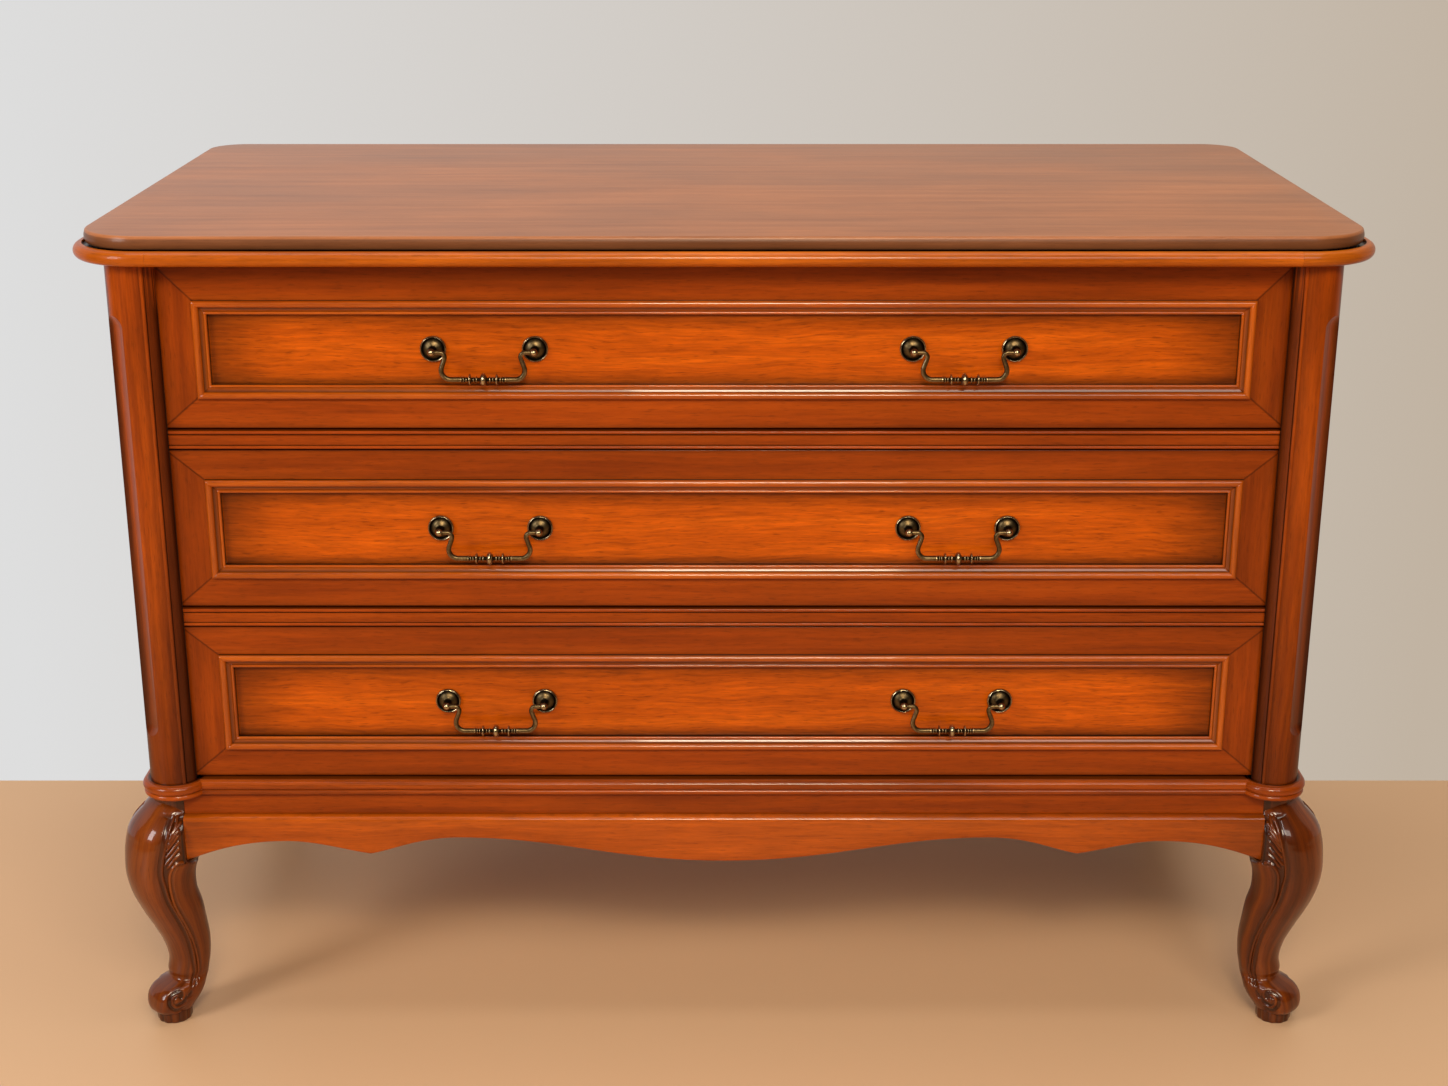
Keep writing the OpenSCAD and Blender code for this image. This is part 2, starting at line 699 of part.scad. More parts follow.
// A board with a groove for the drawer bottom, and a frame of four mitred strips on its face
module drawer_front(i) {
    color(FRAME) {
        difference() {
            span([-front_half, field_y, front_low(i)], [front_half, back_y, front_high(i)]);
            span([-drawer_side_x, back_y - groove_depth, bottom_z(i)],
                 [drawer_side_x, back_y + 1, bottom_z(i) + drawer_bottom]);
            for (hand = PULLS, s = [-1, 1])
                translate([hand_sign(hand) * pull_x + s * pull_centres / 2, field_y - 1, pull_z(i)])
                    rotate([-90, 0, 0]) cylinder(r = stud_r + stud_gap, h = front_d);
        }
        for (side = [0:3]) frame_strip(i, side);
    }
}

// One strip of the frame: 0 below the field, 1 right of it, 2 above it, 3 left of it
module frame_strip(i, side) {
    inner_half = field_half + moulding_w / 2;
    low = field_low(i) - moulding_w / 2;
    high = field_high(i) + moulding_w / 2;
    outer = [[-front_half, front_low(i)], [front_half, front_low(i)],
             [front_half, front_high(i)], [-front_half, front_high(i)]];
    inner = [[-inner_half, low], [inner_half, low], [inner_half, high], [-inner_half, high]];
    next = (side + 1) % 4;
    // a hair off each end, which opens the mitres
    ease = (side < 2 ? glue_gap : -glue_gap) * (side % 2 == 0 ? [1, 0] : [0, 1]);
    translate([0, field_y - glue_gap, 0]) rotate([90, 0, 0]) linear_extrude(field_depth - glue_gap)
        polygon([outer[side] + ease, outer[next] - ease, inner[next] - ease, inner[side] + ease]);
}

// Section of the panel moulding: x inwards across it, y out of the front.
// From outside in: a round nose, a step, and a small bead beside the field.
module moulding_section() {
    nose_r = 0.28 * moulding_w;
    bead_r = 0.11 * moulding_w;
    difference() {
        union() {
            translate([nose_r, moulding_out - nose_r]) circle(nose_r);
            square([2 * nose_r, moulding_out - nose_r]);
        }
        translate([-1, -2 * nose_r]) square([2 * moulding_w, 2 * nose_r]);
    }
    polygon([[nose_r, 0], [nose_r, moulding_out - nose_r], [2 * nose_r, 0.5 * moulding_out],
             [moulding_w - bead_r, 0.1 * moulding_out], [moulding_w - bead_r, 0]]);
    translate([moulding_w - bead_r, 0]) circle(bead_r);
    // The foot that fills the rebate down to the field
    translate([moulding_w / 2, -field_depth]) square([moulding_w / 2, field_depth + seam]);
}

// One mitred strip, its outer corner line at y = 0 and running along X
module moulding_strip(length) {
    big = 2 * moulding_w;
    difference() {
        translate([-length / 2, 0, 0]) rotate([90, 0, 90]) linear_extrude(length)
            moulding_section();
        for (s = [-1, 1]) translate([s * length / 2, 0, 0]) rotate([0, 0, s * 45])
            translate([s > 0 ? 0 : -big, -big, -big]) cube([big, 3 * big, 2 * big]);
    }
}

module drawer_moulding(i) {
    half = field_half + moulding_w;
    low = field_low(i) - moulding_w;
    high = field_high(i) + moulding_w;
    color(CHERRY) translate([0, face_y, 0]) rotate([90, 0, 0]) {
        translate([0, low, 0]) moulding_strip(2 * half);
        translate([0, high, 0]) rotate([0, 0, 180]) moulding_strip(2 * half);
        translate([-half, (low + high) / 2, 0]) rotate([0, 0, -90]) moulding_strip(high - low);
        translate([half, (low + high) / 2, 0]) rotate([0, 0, 90]) moulding_strip(high - low);
    }
}

function side_low(i) = ZONES[i][0] + side_lift;
function side_high(i) = ZONES[i][1] - side_headroom;
function bottom_z(i) = side_low(i) + groove_up;

module drawer_side_piece(i, hand) {
    color(PALE) on_side(hand) difference() {
        span([drawer_side_x - drawer_side, back_y, side_low(i)],
             [drawer_side_x, back_y + drawer_len, side_high(i)]);
        span([drawer_side_x - drawer_side - 1, back_y - 1, bottom_z(i)],
             [drawer_side_x - drawer_side + groove_depth, back_y + drawer_len + 1,
              bottom_z(i) + drawer_bottom]);
    }
}

module drawer_back(i) {
    half = drawer_side_x - drawer_side;
    color(PALE) span([-half, back_y + drawer_len - drawer_side, bottom_z(i) + drawer_bottom],
                     [half, back_y + drawer_len, side_high(i)]);
}

module drawer_bottom_panel(i) {
    half = drawer_side_x - drawer_side + groove_depth;
    color(PALE) span([-half, back_y - groove_depth, bottom_z(i)],
                     [half, back_y + drawer_len, bottom_z(i) + drawer_bottom]);
}

// PULLS

pivot_y = field_y - pivot_out;
post_inner = pull_centres / 2 - 1; // where the hinge pins end, inside the balls

// Places along the bail's right half, from the hinge to the bar
lean = 90 - swan_lean;
bend_x = pull_centres / 2 - bend_in;
upper_end = [bend_x - bend_r * sin(lean), -bend_r * (1 + cos(lean))];
neck_l = (bail_drop + upper_end[1] - swan_r * (1 + cos(lean))) / sin(lean);
neck_end = upper_end + neck_l * [cos(lean), -sin(lean)];
swan_c = neck_end - swan_r * [sin(lean), cos(lean)];
rod_start = pull_centres / 2 - ball_r - 0.5;
rod_end = turning_l / 2 - 1; // inside the turned bar

// The rod's middle line as [x, z, heading], the heading in degrees from +X
arm_path = concat(
    [[rod_start, 0, 180]],
    [for (i = [0:arm_steps]) let (h = 180 + i / arm_steps * (90 + swan_lean))
        [bend_x + bend_r * sin(h), -bend_r - bend_r * cos(h), h]],
    [for (i = [0:arm_steps]) let (h = 270 + swan_lean - i / arm_steps * (90 + swan_lean))
        [swan_c[0] - swan_r * sin(h), swan_c[1] + swan_r * cos(h), h]],
    [[rod_end, -bail_drop, 180]]);

// A rod of n sides swept along a path in the XZ plane; its radius grows from r0 to r1
module swept_rod(path, n, r0, r1) {
    last = len(path) - 1;
    points = [for (k = [0:last]) let (p = path[k], r = r0 + (r1 - r0) * k / last)
        for (j = [0:n - 1]) let (a = 360 * (j + 0.5) / n, side = r * cos(a))
            [p[0] - side * sin(p[2]), r * sin(a), p[1] + side * cos(p[2])]];
    polyhedron(points, concat(
        [for (k = [0:last - 1]) for (j = [0:n - 1])
            let (a = k * n + j, b = k * n + (j + 1) % n) each [[a, b, b + n], [a, b + n, a + n]]],
        [[for (j = [n - 1:-1:0]) j], [for (j = [0:n - 1]) last * n + j]]));
}

module bail_half() {
    // The hinge pin runs from inside the rod into the ball
    translate([bend_x + 1, 0, 0]) rotate([0, 90, 0])
        cylinder(r = pin_r, h = post_inner - bend_x - 1);
    swept_rod(arm_path, 10, rod_r, bar_r);
}

// Half section of the turned bar: distance from its middle, radius
function turning_profile(l, r, bar) = [
    [0, r], [0.05 * l, 0.94 * r], [0.085 * l, 0.66 * r], [0.1 * l, 0.5 * bar], [0.12 * l, 1.05 * bar],
    [0.15 * l, 1.05 * bar], [0.17 * l, 0.6 * bar], [0.19 * l, 0.6 * bar], [0.21 * l, 1.1 * bar],
    [0.25 * l, 0.82 * r], [0.29 * l, 0.82 * r], [0.31 * l, 0.6 * bar], [0.35 * l, 0.6 * bar],
    [0.37 * l, bar], [0.41 * l, bar], [0.43 * l, 0.6 * bar], [0.455 * l, 0.6 * bar],
    [0.465 * l, 0.64 * r], [0.5 * l, 0.64 * r]];
module turned_bar() {
    p = turning_profile(turning_l, turning_r, bar_r);
    last = p[len(p) - 1];
    translate([0, 0, -bail_drop]) rotate([0, 90, 0]) rotate_extrude() polygon(concat(
        [[0, -last[0]]], [for (i = [len(p) - 1:-1:1]) [p[i][1], -p[i][0]]],
        [for (q = p) [q[1], q[0]]], [[0, last[0]]]));
}

module bail(i, hand) {
    color(BRASS) translate([hand_sign(hand) * pull_x, pivot_y, pull_z(i)]) {
        bail_half();
        mirror([1, 0, 0]) bail_half();
        turned_bar();
    }
}

// Rosette, neck, ball, stud and nut of one post, its axis out of the drawer front
module post() {
    rim = 2;
    cup = 1.6;
    stud_end = front_d - field_depth + nut_h + 1;
    difference() {
        union() {
            rotate([90, 0, 0]) {
                rotate_extrude() polygon([
                    [0, 0], [rosette_r, 0], [rosette_r, 0.45 * rosette_h],
                    [rosette_r - rim / 2, 0.75 * rosette_h], [rosette_r - rim, 0.7 * rosette_h],
                    [rosette_r - rim - 0.8, 0.35 * rosette_h], [0.62 * rosette_r, 0.6 * rosette_h],
                    [0.42 * rosette_r, 0.95 * rosette_h], [neck_r + cup, rosette_h + cup],
                    [neck_r, rosette_h + 2 * cup], [neck_r, pivot_out], [0, pivot_out]]);
                translate([0, 0, pivot_out]) sphere(ball_r);
            }
            rotate([-90, 0, 0]) cylinder(r = stud_r, h = stud_end);
        }
        translate([0, -pivot_out, 0]) rotate([0, 90, 0])
            cylinder(r = pin_r + pin_gap, h = 4 * ball_r, center = true);
    }
}

module nut() {
    translate([0, front_d - field_depth, 0]) rotate([-90, 0, 0]) difference() {
        union() {
            cylinder(r = 2.8 * stud_r, h = 1);
            cylinder(r = 2 * stud_r, h = nut_h, $fn = 6);
        }
        translate([0, 0, -1]) cylinder(r = stud_r + thread_gap, h = nut_h + 2);
    }
}

module posts(i, hand) {
    color(BRASS) for (s = [-1, 1])
        translate([hand_sign(hand) * pull_x + s * pull_centres / 2, field_y, pull_z(i)]) {
            post();
            nut();
        }
}

top_board();
sub_top();
bullnose_front();
corner_post("left");  // corner_post_left
corner_post("right");  // corner_post_right
back_panel();
bottom_board();
rear_rail();
divider(lower_zone[1]);  // divider_lower
divider(middle_zone[1]);  // divider_upper
band_front();
base_moulding_front();
apron_front();
apron_rear();
for (hand = PULLS) {
    bullnose_side(hand);
    rear_post(hand);
    side_panel(hand);
    base_moulding_side(hand);
    apron_side(hand);
    runners(hand);
    leg(hand, true);
    leg(hand, false);
}
for (level = LEVELS) {
    i = level_index(level);
    drawer_front(i);
    drawer_moulding(i);
    drawer_back(i);
    drawer_bottom_panel(i);
    for (hand = PULLS) {
        drawer_side_piece(i, hand);
        bail(i, hand);
        posts(i, hand);
    }
}
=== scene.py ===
import math

import bmesh
import bpy
import numpy as np
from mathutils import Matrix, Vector


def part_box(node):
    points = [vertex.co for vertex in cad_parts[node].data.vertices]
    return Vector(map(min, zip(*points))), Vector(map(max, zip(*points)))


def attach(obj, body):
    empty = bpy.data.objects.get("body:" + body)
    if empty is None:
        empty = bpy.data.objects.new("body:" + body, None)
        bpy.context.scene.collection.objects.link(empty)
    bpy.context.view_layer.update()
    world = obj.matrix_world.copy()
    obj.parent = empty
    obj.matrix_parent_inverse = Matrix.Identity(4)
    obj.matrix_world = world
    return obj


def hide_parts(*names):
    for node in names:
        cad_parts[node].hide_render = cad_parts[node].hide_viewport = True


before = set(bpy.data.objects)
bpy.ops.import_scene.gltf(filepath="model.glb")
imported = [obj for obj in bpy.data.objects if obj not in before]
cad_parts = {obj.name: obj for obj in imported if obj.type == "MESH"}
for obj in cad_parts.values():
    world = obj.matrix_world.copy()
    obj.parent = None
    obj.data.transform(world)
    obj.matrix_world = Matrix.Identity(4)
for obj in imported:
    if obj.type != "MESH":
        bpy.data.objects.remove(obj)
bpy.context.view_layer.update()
mm = 0.001
box = {name: np.array(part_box(name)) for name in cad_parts}
frontY, rearY = box["top_board"][:, 1]      # front and rear edge of the top board
caseX = box["side_panel_right"][1][0]
standH, bandTop = box["band_front"][:, 2]
caseTop = box["sub_top"][0][2]
levels = ("lower", "middle", "upper")
hands = (("left", -1), ("right", 1))
up = np.array([0, 0, 1.0])
outOfFront = (0, -1, 0)


# tools for the meshes

def smoothStep(edge0, edge1, x):
    t = np.clip((x - edge0) / (edge1 - edge0), 0, 1)
    return t * t * (3 - 2 * t)


def lengthAlong(points):
    # running length of a line of points
    steps = np.linalg.norm(np.diff(points, axis=0), axis=1)
    return np.concatenate([[0], np.cumsum(steps)])


def arc(cx, cy, r, start, end, n):
    # points on a circle, angles in degrees, both ends included
    a = np.radians(np.linspace(start, end, n))
    return np.stack([cx + r * np.cos(a), cy + r * np.sin(a)], -1)


def spread(start, stops):
    # places from start on to each stop in turn, with a number of places of its own on the way
    parts = [[start]]
    for stop, count in stops:
        parts.append(np.linspace(parts[-1][-1], stop, count)[1:])
    return np.concatenate(parts)


def gridOf(*coordinates):
    # rows and columns of points, or of places in a map, from their coordinates
    return np.stack(np.broadcast_arrays(*coordinates), -1)


def patch(points, uv, tone=1.0):
    # a grid of points (rows, columns, 3) with its own uv in metres and a tone, from 0 for dark to 1
    # on the wood the tone carries painted shade and the dark lines of joints, on the brass its patina and
    # wear
    points = np.asarray(points, float)
    return {"points": points, "uv": np.asarray(uv, float), "tone": np.broadcast_to(tone, points.shape[:2])}


def capPatch(ring, uv, tone=1.0):
    # one flat face inside a ring of points
    return {"ring": np.asarray(ring, float), "uv": np.asarray(uv, float), "tone": tone}


def endCaps(points, uv, tone=1.0):
    # closes the first and the last row of a grid whose columns meet
    return [capPatch(points[k, :-1], uv[k, :-1], tone) for k in (0, -1)]


def makePiece(name, patches, material, nodes, body="case", sharp=35, merge=0.00002):
    # joins the patches into one mesh: doubles are merged, faces are turned outwards
    verts, loops, uvs, tones, totals = [], [], [], [], []
    count = 0
    for p in patches:
        if "ring" in p:
            points, faces = p["ring"], np.arange(len(p["ring"]))[None]
        else:
            points = p["points"].reshape(-1, 3)
            grid = np.arange(len(points)).reshape(p["points"].shape[:2])
            faces = np.stack([grid[:-1, :-1], grid[1:, :-1], grid[1:, 1:], grid[:-1, 1:]], -1).reshape(-1, 4)
        verts.append(points)
        tones.append(np.broadcast_to(p["tone"], p["uv"].shape[:-1]).ravel())
        loops.append(faces.ravel() + count)
        uvs.append(p["uv"].reshape(-1, 2)[faces.ravel()])
        totals.append(np.full(len(faces), faces.shape[1]))
        count += len(points)
    loops, totals = np.concatenate(loops), np.concatenate(totals)
    mesh = bpy.data.meshes.new(name)
    mesh.vertices.add(count)
    mesh.vertices.foreach_set("co", np.concatenate(verts).astype(np.float32).ravel())
    mesh.loops.add(len(loops))
    mesh.loops.foreach_set("vertex_index", loops.astype(np.int32))
    mesh.polygons.add(len(totals))
    mesh.polygons.foreach_set("loop_start", (np.cumsum(totals) - totals).astype(np.int32))
    mesh.polygons.foreach_set("loop_total", totals.astype(np.int32))
    mesh.update(calc_edges=True)
    layer = mesh.uv_layers.new(name="grain")
    layer.data.foreach_set("uv", np.concatenate(uvs).astype(np.float32).ravel())
    attribute = mesh.attributes.new("tone", "FLOAT", "POINT")
    attribute.data.foreach_set("value", np.concatenate(tones).astype(np.float32))
    bm = bmesh.new()
    bm.from_mesh(mesh)
    bmesh.ops.remove_doubles(bm, verts=bm.verts, dist=merge)
    bmesh.ops.dissolve_degenerate(bm, edges=bm.edges, dist=merge / 4)
    bmesh.ops.recalc_face_normals(bm, faces=bm.faces)
    bm.to_mesh(mesh)
    bm.free()
    mesh.polygons.foreach_set("use_smooth", np.ones(len(mesh.polygons), bool))
    mesh.set_sharp_from_angle(angle=math.radians(sharp))
    piece = bpy.data.objects.new(name, mesh)
    bpy.context.scene.collection.objects.link(piece)
    mesh.materials.append(material)
    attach(piece, body)
    if nodes:
        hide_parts(*nodes)


def sweep(origins, outs, profile, uvStart, tone):
    # carries a closed profile (out, up) along a path: point = origin + out * outward + up * upward.
    # u is the length along the path, v the length round the profile.
    closed = np.vstack([profile, profile[:1]])
    points = (np.asarray(origins)[:, None, :] + closed[None, :, :1] * np.asarray(outs)[:, None, :]
              + closed[None, :, 1:] * up)
    u = lengthAlong(np.asarray(origins)) + uvStart[0]
    v = lengthAlong(closed) + uvStart[1]
    side = patch(points, gridOf(u[:, None], v), np.append(tone, tone[0]))
    endUv = profile + np.array(uvStart)
    return [side] + [capPatch(points[k, :-1], endUv, side["tone"][k, :-1]) for k in (0, -1)]


def frontRun(x0, x1, y, z, profile, number, tone):
    # a straight moulding along the front of the chest
    return sweep([[x0, y, z], [x1, y, z]], [outOfFront] * 2, profile, grainShift(number), tone)


def sideRun(side, z, points, outs, profile, number, tone):
    # a moulding that follows a line in plan, given for the right side
    points, outs = np.array(points), np.array(outs)
    origins = np.column_stack([side * points[:, 0], points[:, 1], np.full(len(points), z)])
    directions = np.column_stack([side * outs[:, 0], outs[:, 1], np.zeros(len(outs))])
    return sweep(origins, directions, profile, grainShift(number), tone)


def grainShift(number):
    # a fixed place in the figure of the wood, so that no two pieces are cut alike
    return ((number * 0.731) % 3.7, (number * 1.913) % 5.3)


# materials, and the tools that build their nodes

def plug(node, inputs):
    # a socket is linked to its input, and anything else is set as the input's value
    for key, value in inputs.items():
        if isinstance(value, bpy.types.NodeSocket):
            node.id_data.links.new(value, node.inputs[key])
        else:
            node.inputs[key].default_value = value


def add(tree, kind, inputs=None, **settings):
    node = tree.nodes.new("ShaderNode" + kind)
    for key, value in settings.items():
        setattr(node, key, value)
    plug(node, inputs or {})
    return node


def newMaterial(name, kind="BsdfPrincipled"):
    material = bpy.data.materials.new(name)
    material.use_nodes = True
    tree = material.node_tree
    tree.nodes.clear()
    shader = add(tree, kind)
    add(tree, "OutputMaterial", {0: shader.outputs[0]})
    return material, tree, shader


def linear(colour):
    # a colour as it looks on the screen, 0 to 255, to the numbers that the shader wants
    c = np.array(colour) / 255
    return tuple(np.where(c <= 0.04045, c / 12.92, ((c + 0.055) / 1.055) ** 2.4)) + (1,)


def grey(value):
    return (value, value, value, 1)


def noise(tree, vector, scale, detail=3, roughness=0.55):
    stretch = add(tree, "Mapping", {"Vector": vector, "Scale": scale})
    waves = {"Vector": stretch.outputs[0], "Scale": 1, "Detail": detail, "Roughness": roughness}
    return add(tree, "TexNoise", waves).outputs["Fac"]


def ramp(tree, fac, stops):
    node = add(tree, "ValToRGB", {0: fac})
    while len(node.color_ramp.elements) < len(stops):
        node.color_ramp.elements.new(0.5)
    for element, (place, colour) in zip(node.color_ramp.elements, stops):
        element.position = place
        element.color = colour
    return node.outputs[0]


def mixColour(tree, how, fac, a, b):
    return add(tree, "Mix", {0: fac, 6: a, 7: b}, data_type="RGBA", blend_type=how).outputs[2]


def maths(tree, how, *values):
    return add(tree, "Math", dict(enumerate(values)), operation=how).outputs[0]


def swing(tree, fac, amount):
    # noise round 0.5 to a swing round nothing
    return maths(tree, "MULTIPLY", maths(tree, "SUBTRACT", fac, 0.5), amount)


# how fine each layer of the wood's figure is, along the grain and across it, its detail and its roughness
figure = {"drift": (2.2, 9, 2, 0.55), "ripple": (17, 26, 2, 0.55), "streaks": (2.6, 60, 5, 0.62),
          "fibres": (24, 330, 4, 0.65), "flecks": (70, 760, 1, 0.55), "clouds": (3.1, 7, 2, 0.55)}
# for grain along an axis of the chest: which axes are along and across
axisOrder = {"x": (0, 2, 1), "y": (1, 2, 0), "z": (2, 0, 1)}


def woodMaterial(name, look, along="uv"):
    # lacquered wood. The grain runs along u of the piece's own map, or along one axis of the chest.
    material, tree, shader = newMaterial(name)

    def layer(kind, place):
        lengthwise, across, detail, roughness = figure[kind]
        return noise(tree, place, (lengthwise, across, across), detail, roughness)

    if along == "uv":
        place = add(tree, "UVMap", uv_map="grain").outputs[0]
    else:
        axes = add(tree, "SeparateXYZ", {0: add(tree, "TexCoord").outputs["Object"]}).outputs
        place = add(tree, "CombineXYZ", {k: axes[axis] for k, axis in enumerate(axisOrder[along])}).outputs[0]
    # the grain wanders across itself, in long waves and in short ones
    lift = maths(tree, "ADD", swing(tree, layer("drift", place), look["wander"]),
                 swing(tree, layer("ripple", place), 0.3 * look["wander"]))
    grain = add(tree, "VectorMath", {0: place, 1: add(tree, "CombineXYZ", {1: lift}).outputs[0]}).outputs[0]
    fibres, flecks, clouds = layer("fibres", grain), layer("flecks", grain), layer("clouds", place)
    colour = ramp(tree, layer("streaks", grain), [(0.30, linear(look["dark"])), (0.50, linear(look["mid"])),
                                                  (0.70, linear(look["light"]))])
    shades = [ramp(tree, clouds, [(0.30, grey(look["cloud"])), (0.68, grey(1.12))]),
              ramp(tree, fibres, [(0.32, grey(1 - look["fibre"])), (0.66, grey(1 + 0.5 * look["fibre"]))]),
              ramp(tree, flecks, [(0.60, grey(1)), (0.70, grey(1 - look["fleck"]))])]
    # the tone darkens the colour towards the shade colour: painted shade, and the dark lines of joints
    if along == "uv":
        tone = add(tree, "Attribute", attribute_name="tone").outputs["Fac"]
        shades.append(ramp(tree, tone, [(0.0, linear(look["shade"])), (1.0, grey(1))]))
    for shade in shades:
        colour = mixColour(tree, "MULTIPLY", 1.0, colour, shade)
    rough = add(tree, "MapRange", {"Value": clouds, "To Min": look["rough"] - 0.05,
                                   "To Max": look["rough"] + 0.07})
    height = maths(tree, "SUBTRACT", maths(tree, "MULTIPLY", fibres, 0.5),
                   maths(tree, "MULTIPLY", flecks, 0.5))
    bump = add(tree, "Bump", {"Strength": look["bump"], "Distance": 0.0004, "Height": height})
    plug(shader, {"Base Color": colour, "Roughness": rough.outputs[0], "Specular IOR Level": look["specular"],
                  "Coat Weight": look["coat"], "Coat Roughness": look["coatRough"],
                  "Normal": bump.outputs[0]})
    return material


# colours as they look in the room
cherryLook = {"dark": (112, 42, 3), "mid": (133, 53, 4), "light": (152, 64, 7), "shade": (20, 5, 2),
              "cloud": 0.82, "fibre": 0.22, "fleck": 0.24, "wander": 0.012, "rough": 0.32,
              "specular": 0.1, "coat": 0.4, "coatRough": 0.08, "bump": 0.22}
mouldingLook = dict(cherryLook, dark=(138, 57, 4), mid=(164, 73, 7), light=(184, 88, 13), fibre=0.18,
                    coat=0.6, coatRough=0.06)
frameLook = dict(cherryLook, dark=(128, 48, 3), mid=(150, 60, 4), light=(164, 69, 7), cloud=0.84,
                 fibre=0.16, coat=0.14)
woodLooks = {
    "moulding": mouldingLook, "frame": frameLook,
    "bull": dict(mouldingLook, dark=(146, 64, 5), mid=(172, 82, 8), light=(194, 99, 16), coat=0.2),
    "base": dict(cherryLook, dark=(122, 48, 3), mid=(150, 62, 5), light=(174, 76, 8), coat=0.34,
                 coatRough=0.06),
    "post": dict(frameLook, mid=(158, 65, 5), light=(182, 80, 10), cloud=0.8, fibre=0.2, coat=0.16),
    "field": dict(cherryLook, dark=(167, 70, 2), mid=(184, 79, 3), light=(199, 89, 5), fibre=0.32,
                  cloud=0.86, fleck=0.34, wander=0.022, coat=0.14),
    "apron": dict(cherryLook, dark=(144, 60, 3), mid=(166, 73, 5), light=(186, 85, 9), wander=0.02,
                  coat=0.42, coatRough=0.06),
    "top": dict(cherryLook, dark=(139, 82, 47), mid=(152, 92, 54), light=(163, 100, 60), fibre=0.12,
                wander=0.02, rough=0.36, coat=0.2, coatRough=0.22, fleck=0.12),
    "leg": dict(cherryLook, dark=(70, 26, 2), mid=(106, 44, 4), light=(138, 65, 11), cloud=0.7,
                fibre=0.12, coat=0.6, coatRough=0.07)}
paleLook = {"dark": (176, 142, 98), "mid": (200, 168, 122), "light": (214, 186, 142), "cloud": 0.9,
            "fibre": 0.1, "fleck": 0.14, "wander": 0.012, "rough": 0.6, "specular": 0.3, "coat": 0,
            "coatRough": 0.3, "bump": 0.3}
wood = {name: woodMaterial(name + "Wood", look) for name, look in woodLooks.items()}
sideWood = woodMaterial("sideWood", cherryLook, along="z")
railWood = woodMaterial("railWood", cherryLook, along="x")
paleAcross = woodMaterial("paleAcross", paleLook, along="x")
paleDeep = woodMaterial("paleDeep", paleLook, along="y")

brassLook = {"bright": (176, 158, 124), "mid": (96, 80, 54), "dark": (26, 20, 13), "rough": 0.27,
             "mottle": 420}


def brassMaterial(look):
    # antiqued brass: bright on the high places, dark patina in the hollows, by the tone of the mesh
    material, tree, shader = newMaterial("antiqueBrass")
    tone = add(tree, "Attribute", attribute_name="tone").outputs["Fac"]
    place = add(tree, "TexCoord").outputs["Object"]
    mottle = noise(tree, place, (look["mottle"],) * 3, 4, 0.6)
    worn = maths(tree, "ADD", tone, swing(tree, mottle, 0.5))
    colour = ramp(tree, worn, [(0.12, linear(look["dark"])), (0.55, linear(look["mid"])),
                               (0.95, linear(look["bright"]))])
    rough = add(tree, "MapRange", {"Value": worn, "To Min": look["rough"] + 0.22,
                                   "To Max": look["rough"] - 0.06})
    bump = add(tree, "Bump", {"Strength": 0.2, "Distance": 0.0003, "Height": mottle})
    plug(shader, {"Base Color": colour, "Metallic": 1, "Roughness": rough.outputs[0],
                  "Normal": bump.outputs[0]})
    return material


brass = brassMaterial(brassLook)
print("materials made")


# the top board and the bullnose moulding under it
topSize = {"frontRadius": 62, "backRadius": 40, "edgeRound": 2.4, "edgeSwell": 0.9, "edgeSteps": 7}
bullSize = {"height": 14, "out": 10.97, "reach": 25, "quirkDepth": 2.6, "quirkWidth": 2.6, "block": 10,
            "backTurn": 51}


def planPath(halfW, yFront, yBack, rFront, rBack, n):
    # a rounded rectangle seen from above, anticlockwise from the front left, and its outward normals
    parts, normals = [], []
    corners = [(rFront - halfW, yFront + rFront, rFront, 180), (halfW - rFront, yFront + rFront, rFront, 270),
               (halfW - rBack, yBack - rBack, rBack, 0), (rBack - halfW, yBack - rBack, rBack, 90)]
    for cx, cy, r, start in corners:
        normal = arc(0, 0, 1, start, start + 90, n)
        parts.append(np.array([cx, cy]) + r * normal)
        normals.append(normal)
    parts, normals = np.concatenate(parts), np.concatenate(normals)
    return np.vstack([parts, parts[:1]]), np.vstack([normals, normals[:1]])


def topBoard():
    # the edge profile, carried round the plan: (inset from the edge, height), from the face down
    low, high = box["top_board"][:, 2]
    r, swell = topSize["edgeRound"] * mm, topSize["edgeSwell"] * mm
    upper = arc(r + swell, high - r, r, 90, 170, topSize["edgeSteps"])
    t = np.linspace(0.08, 0.92, 7)
    middle = np.stack([swell * (2 * t - 1) ** 2, high - r + t * (low - high + 2 * r)], -1)
    lower = arc(r + swell, low + r, r, 190, 270, topSize["edgeSteps"])
    profile = np.vstack([upper, middle, lower])
    plan, normal = planPath(box["top_board"][1][0], frontY, rearY, topSize["frontRadius"] * mm,
                            topSize["backRadius"] * mm, 24)
    inset, z = profile.T
    points = gridOf(plan[:, :1] - inset * normal[:, :1], plan[:, 1:] - inset * normal[:, 1:], z)
    uv = gridOf(lengthAlong(plan)[:, None], lengthAlong(profile) + 1.3)
    # painted shade: the edge is darker than the face, and darkest underneath
    tone = np.ones(len(profile))
    tone[len(upper):] = 0.46
    tone[-len(lower):] = np.linspace(0.4, 0.05, len(lower))
    patches = [patch(points, uv, tone)]
    patches += [capPatch(points[:-1, k], points[:-1, k, :2]) for k in (0, -1)]
    makePiece("topBoard", patches, wood["top"], ["top_board"], sharp=30)


def bullProfile():
    # (out from the board's edge, height above the case's top), round nose with a sunk line at its back
    s, h = bullSize, bullSize["height"]
    nose = arc(s["out"] - h / 2, h / 2, h / 2, -90, 86, 15)
    floor = h - s["quirkDepth"]
    quirk = [(s["quirkWidth"], h), (s["quirkWidth"] - 0.5, floor), (-2, floor)]
    return np.vstack([[(-s["reach"], 0)], nose, quirk, [(-s["reach"], floor)]]) * mm


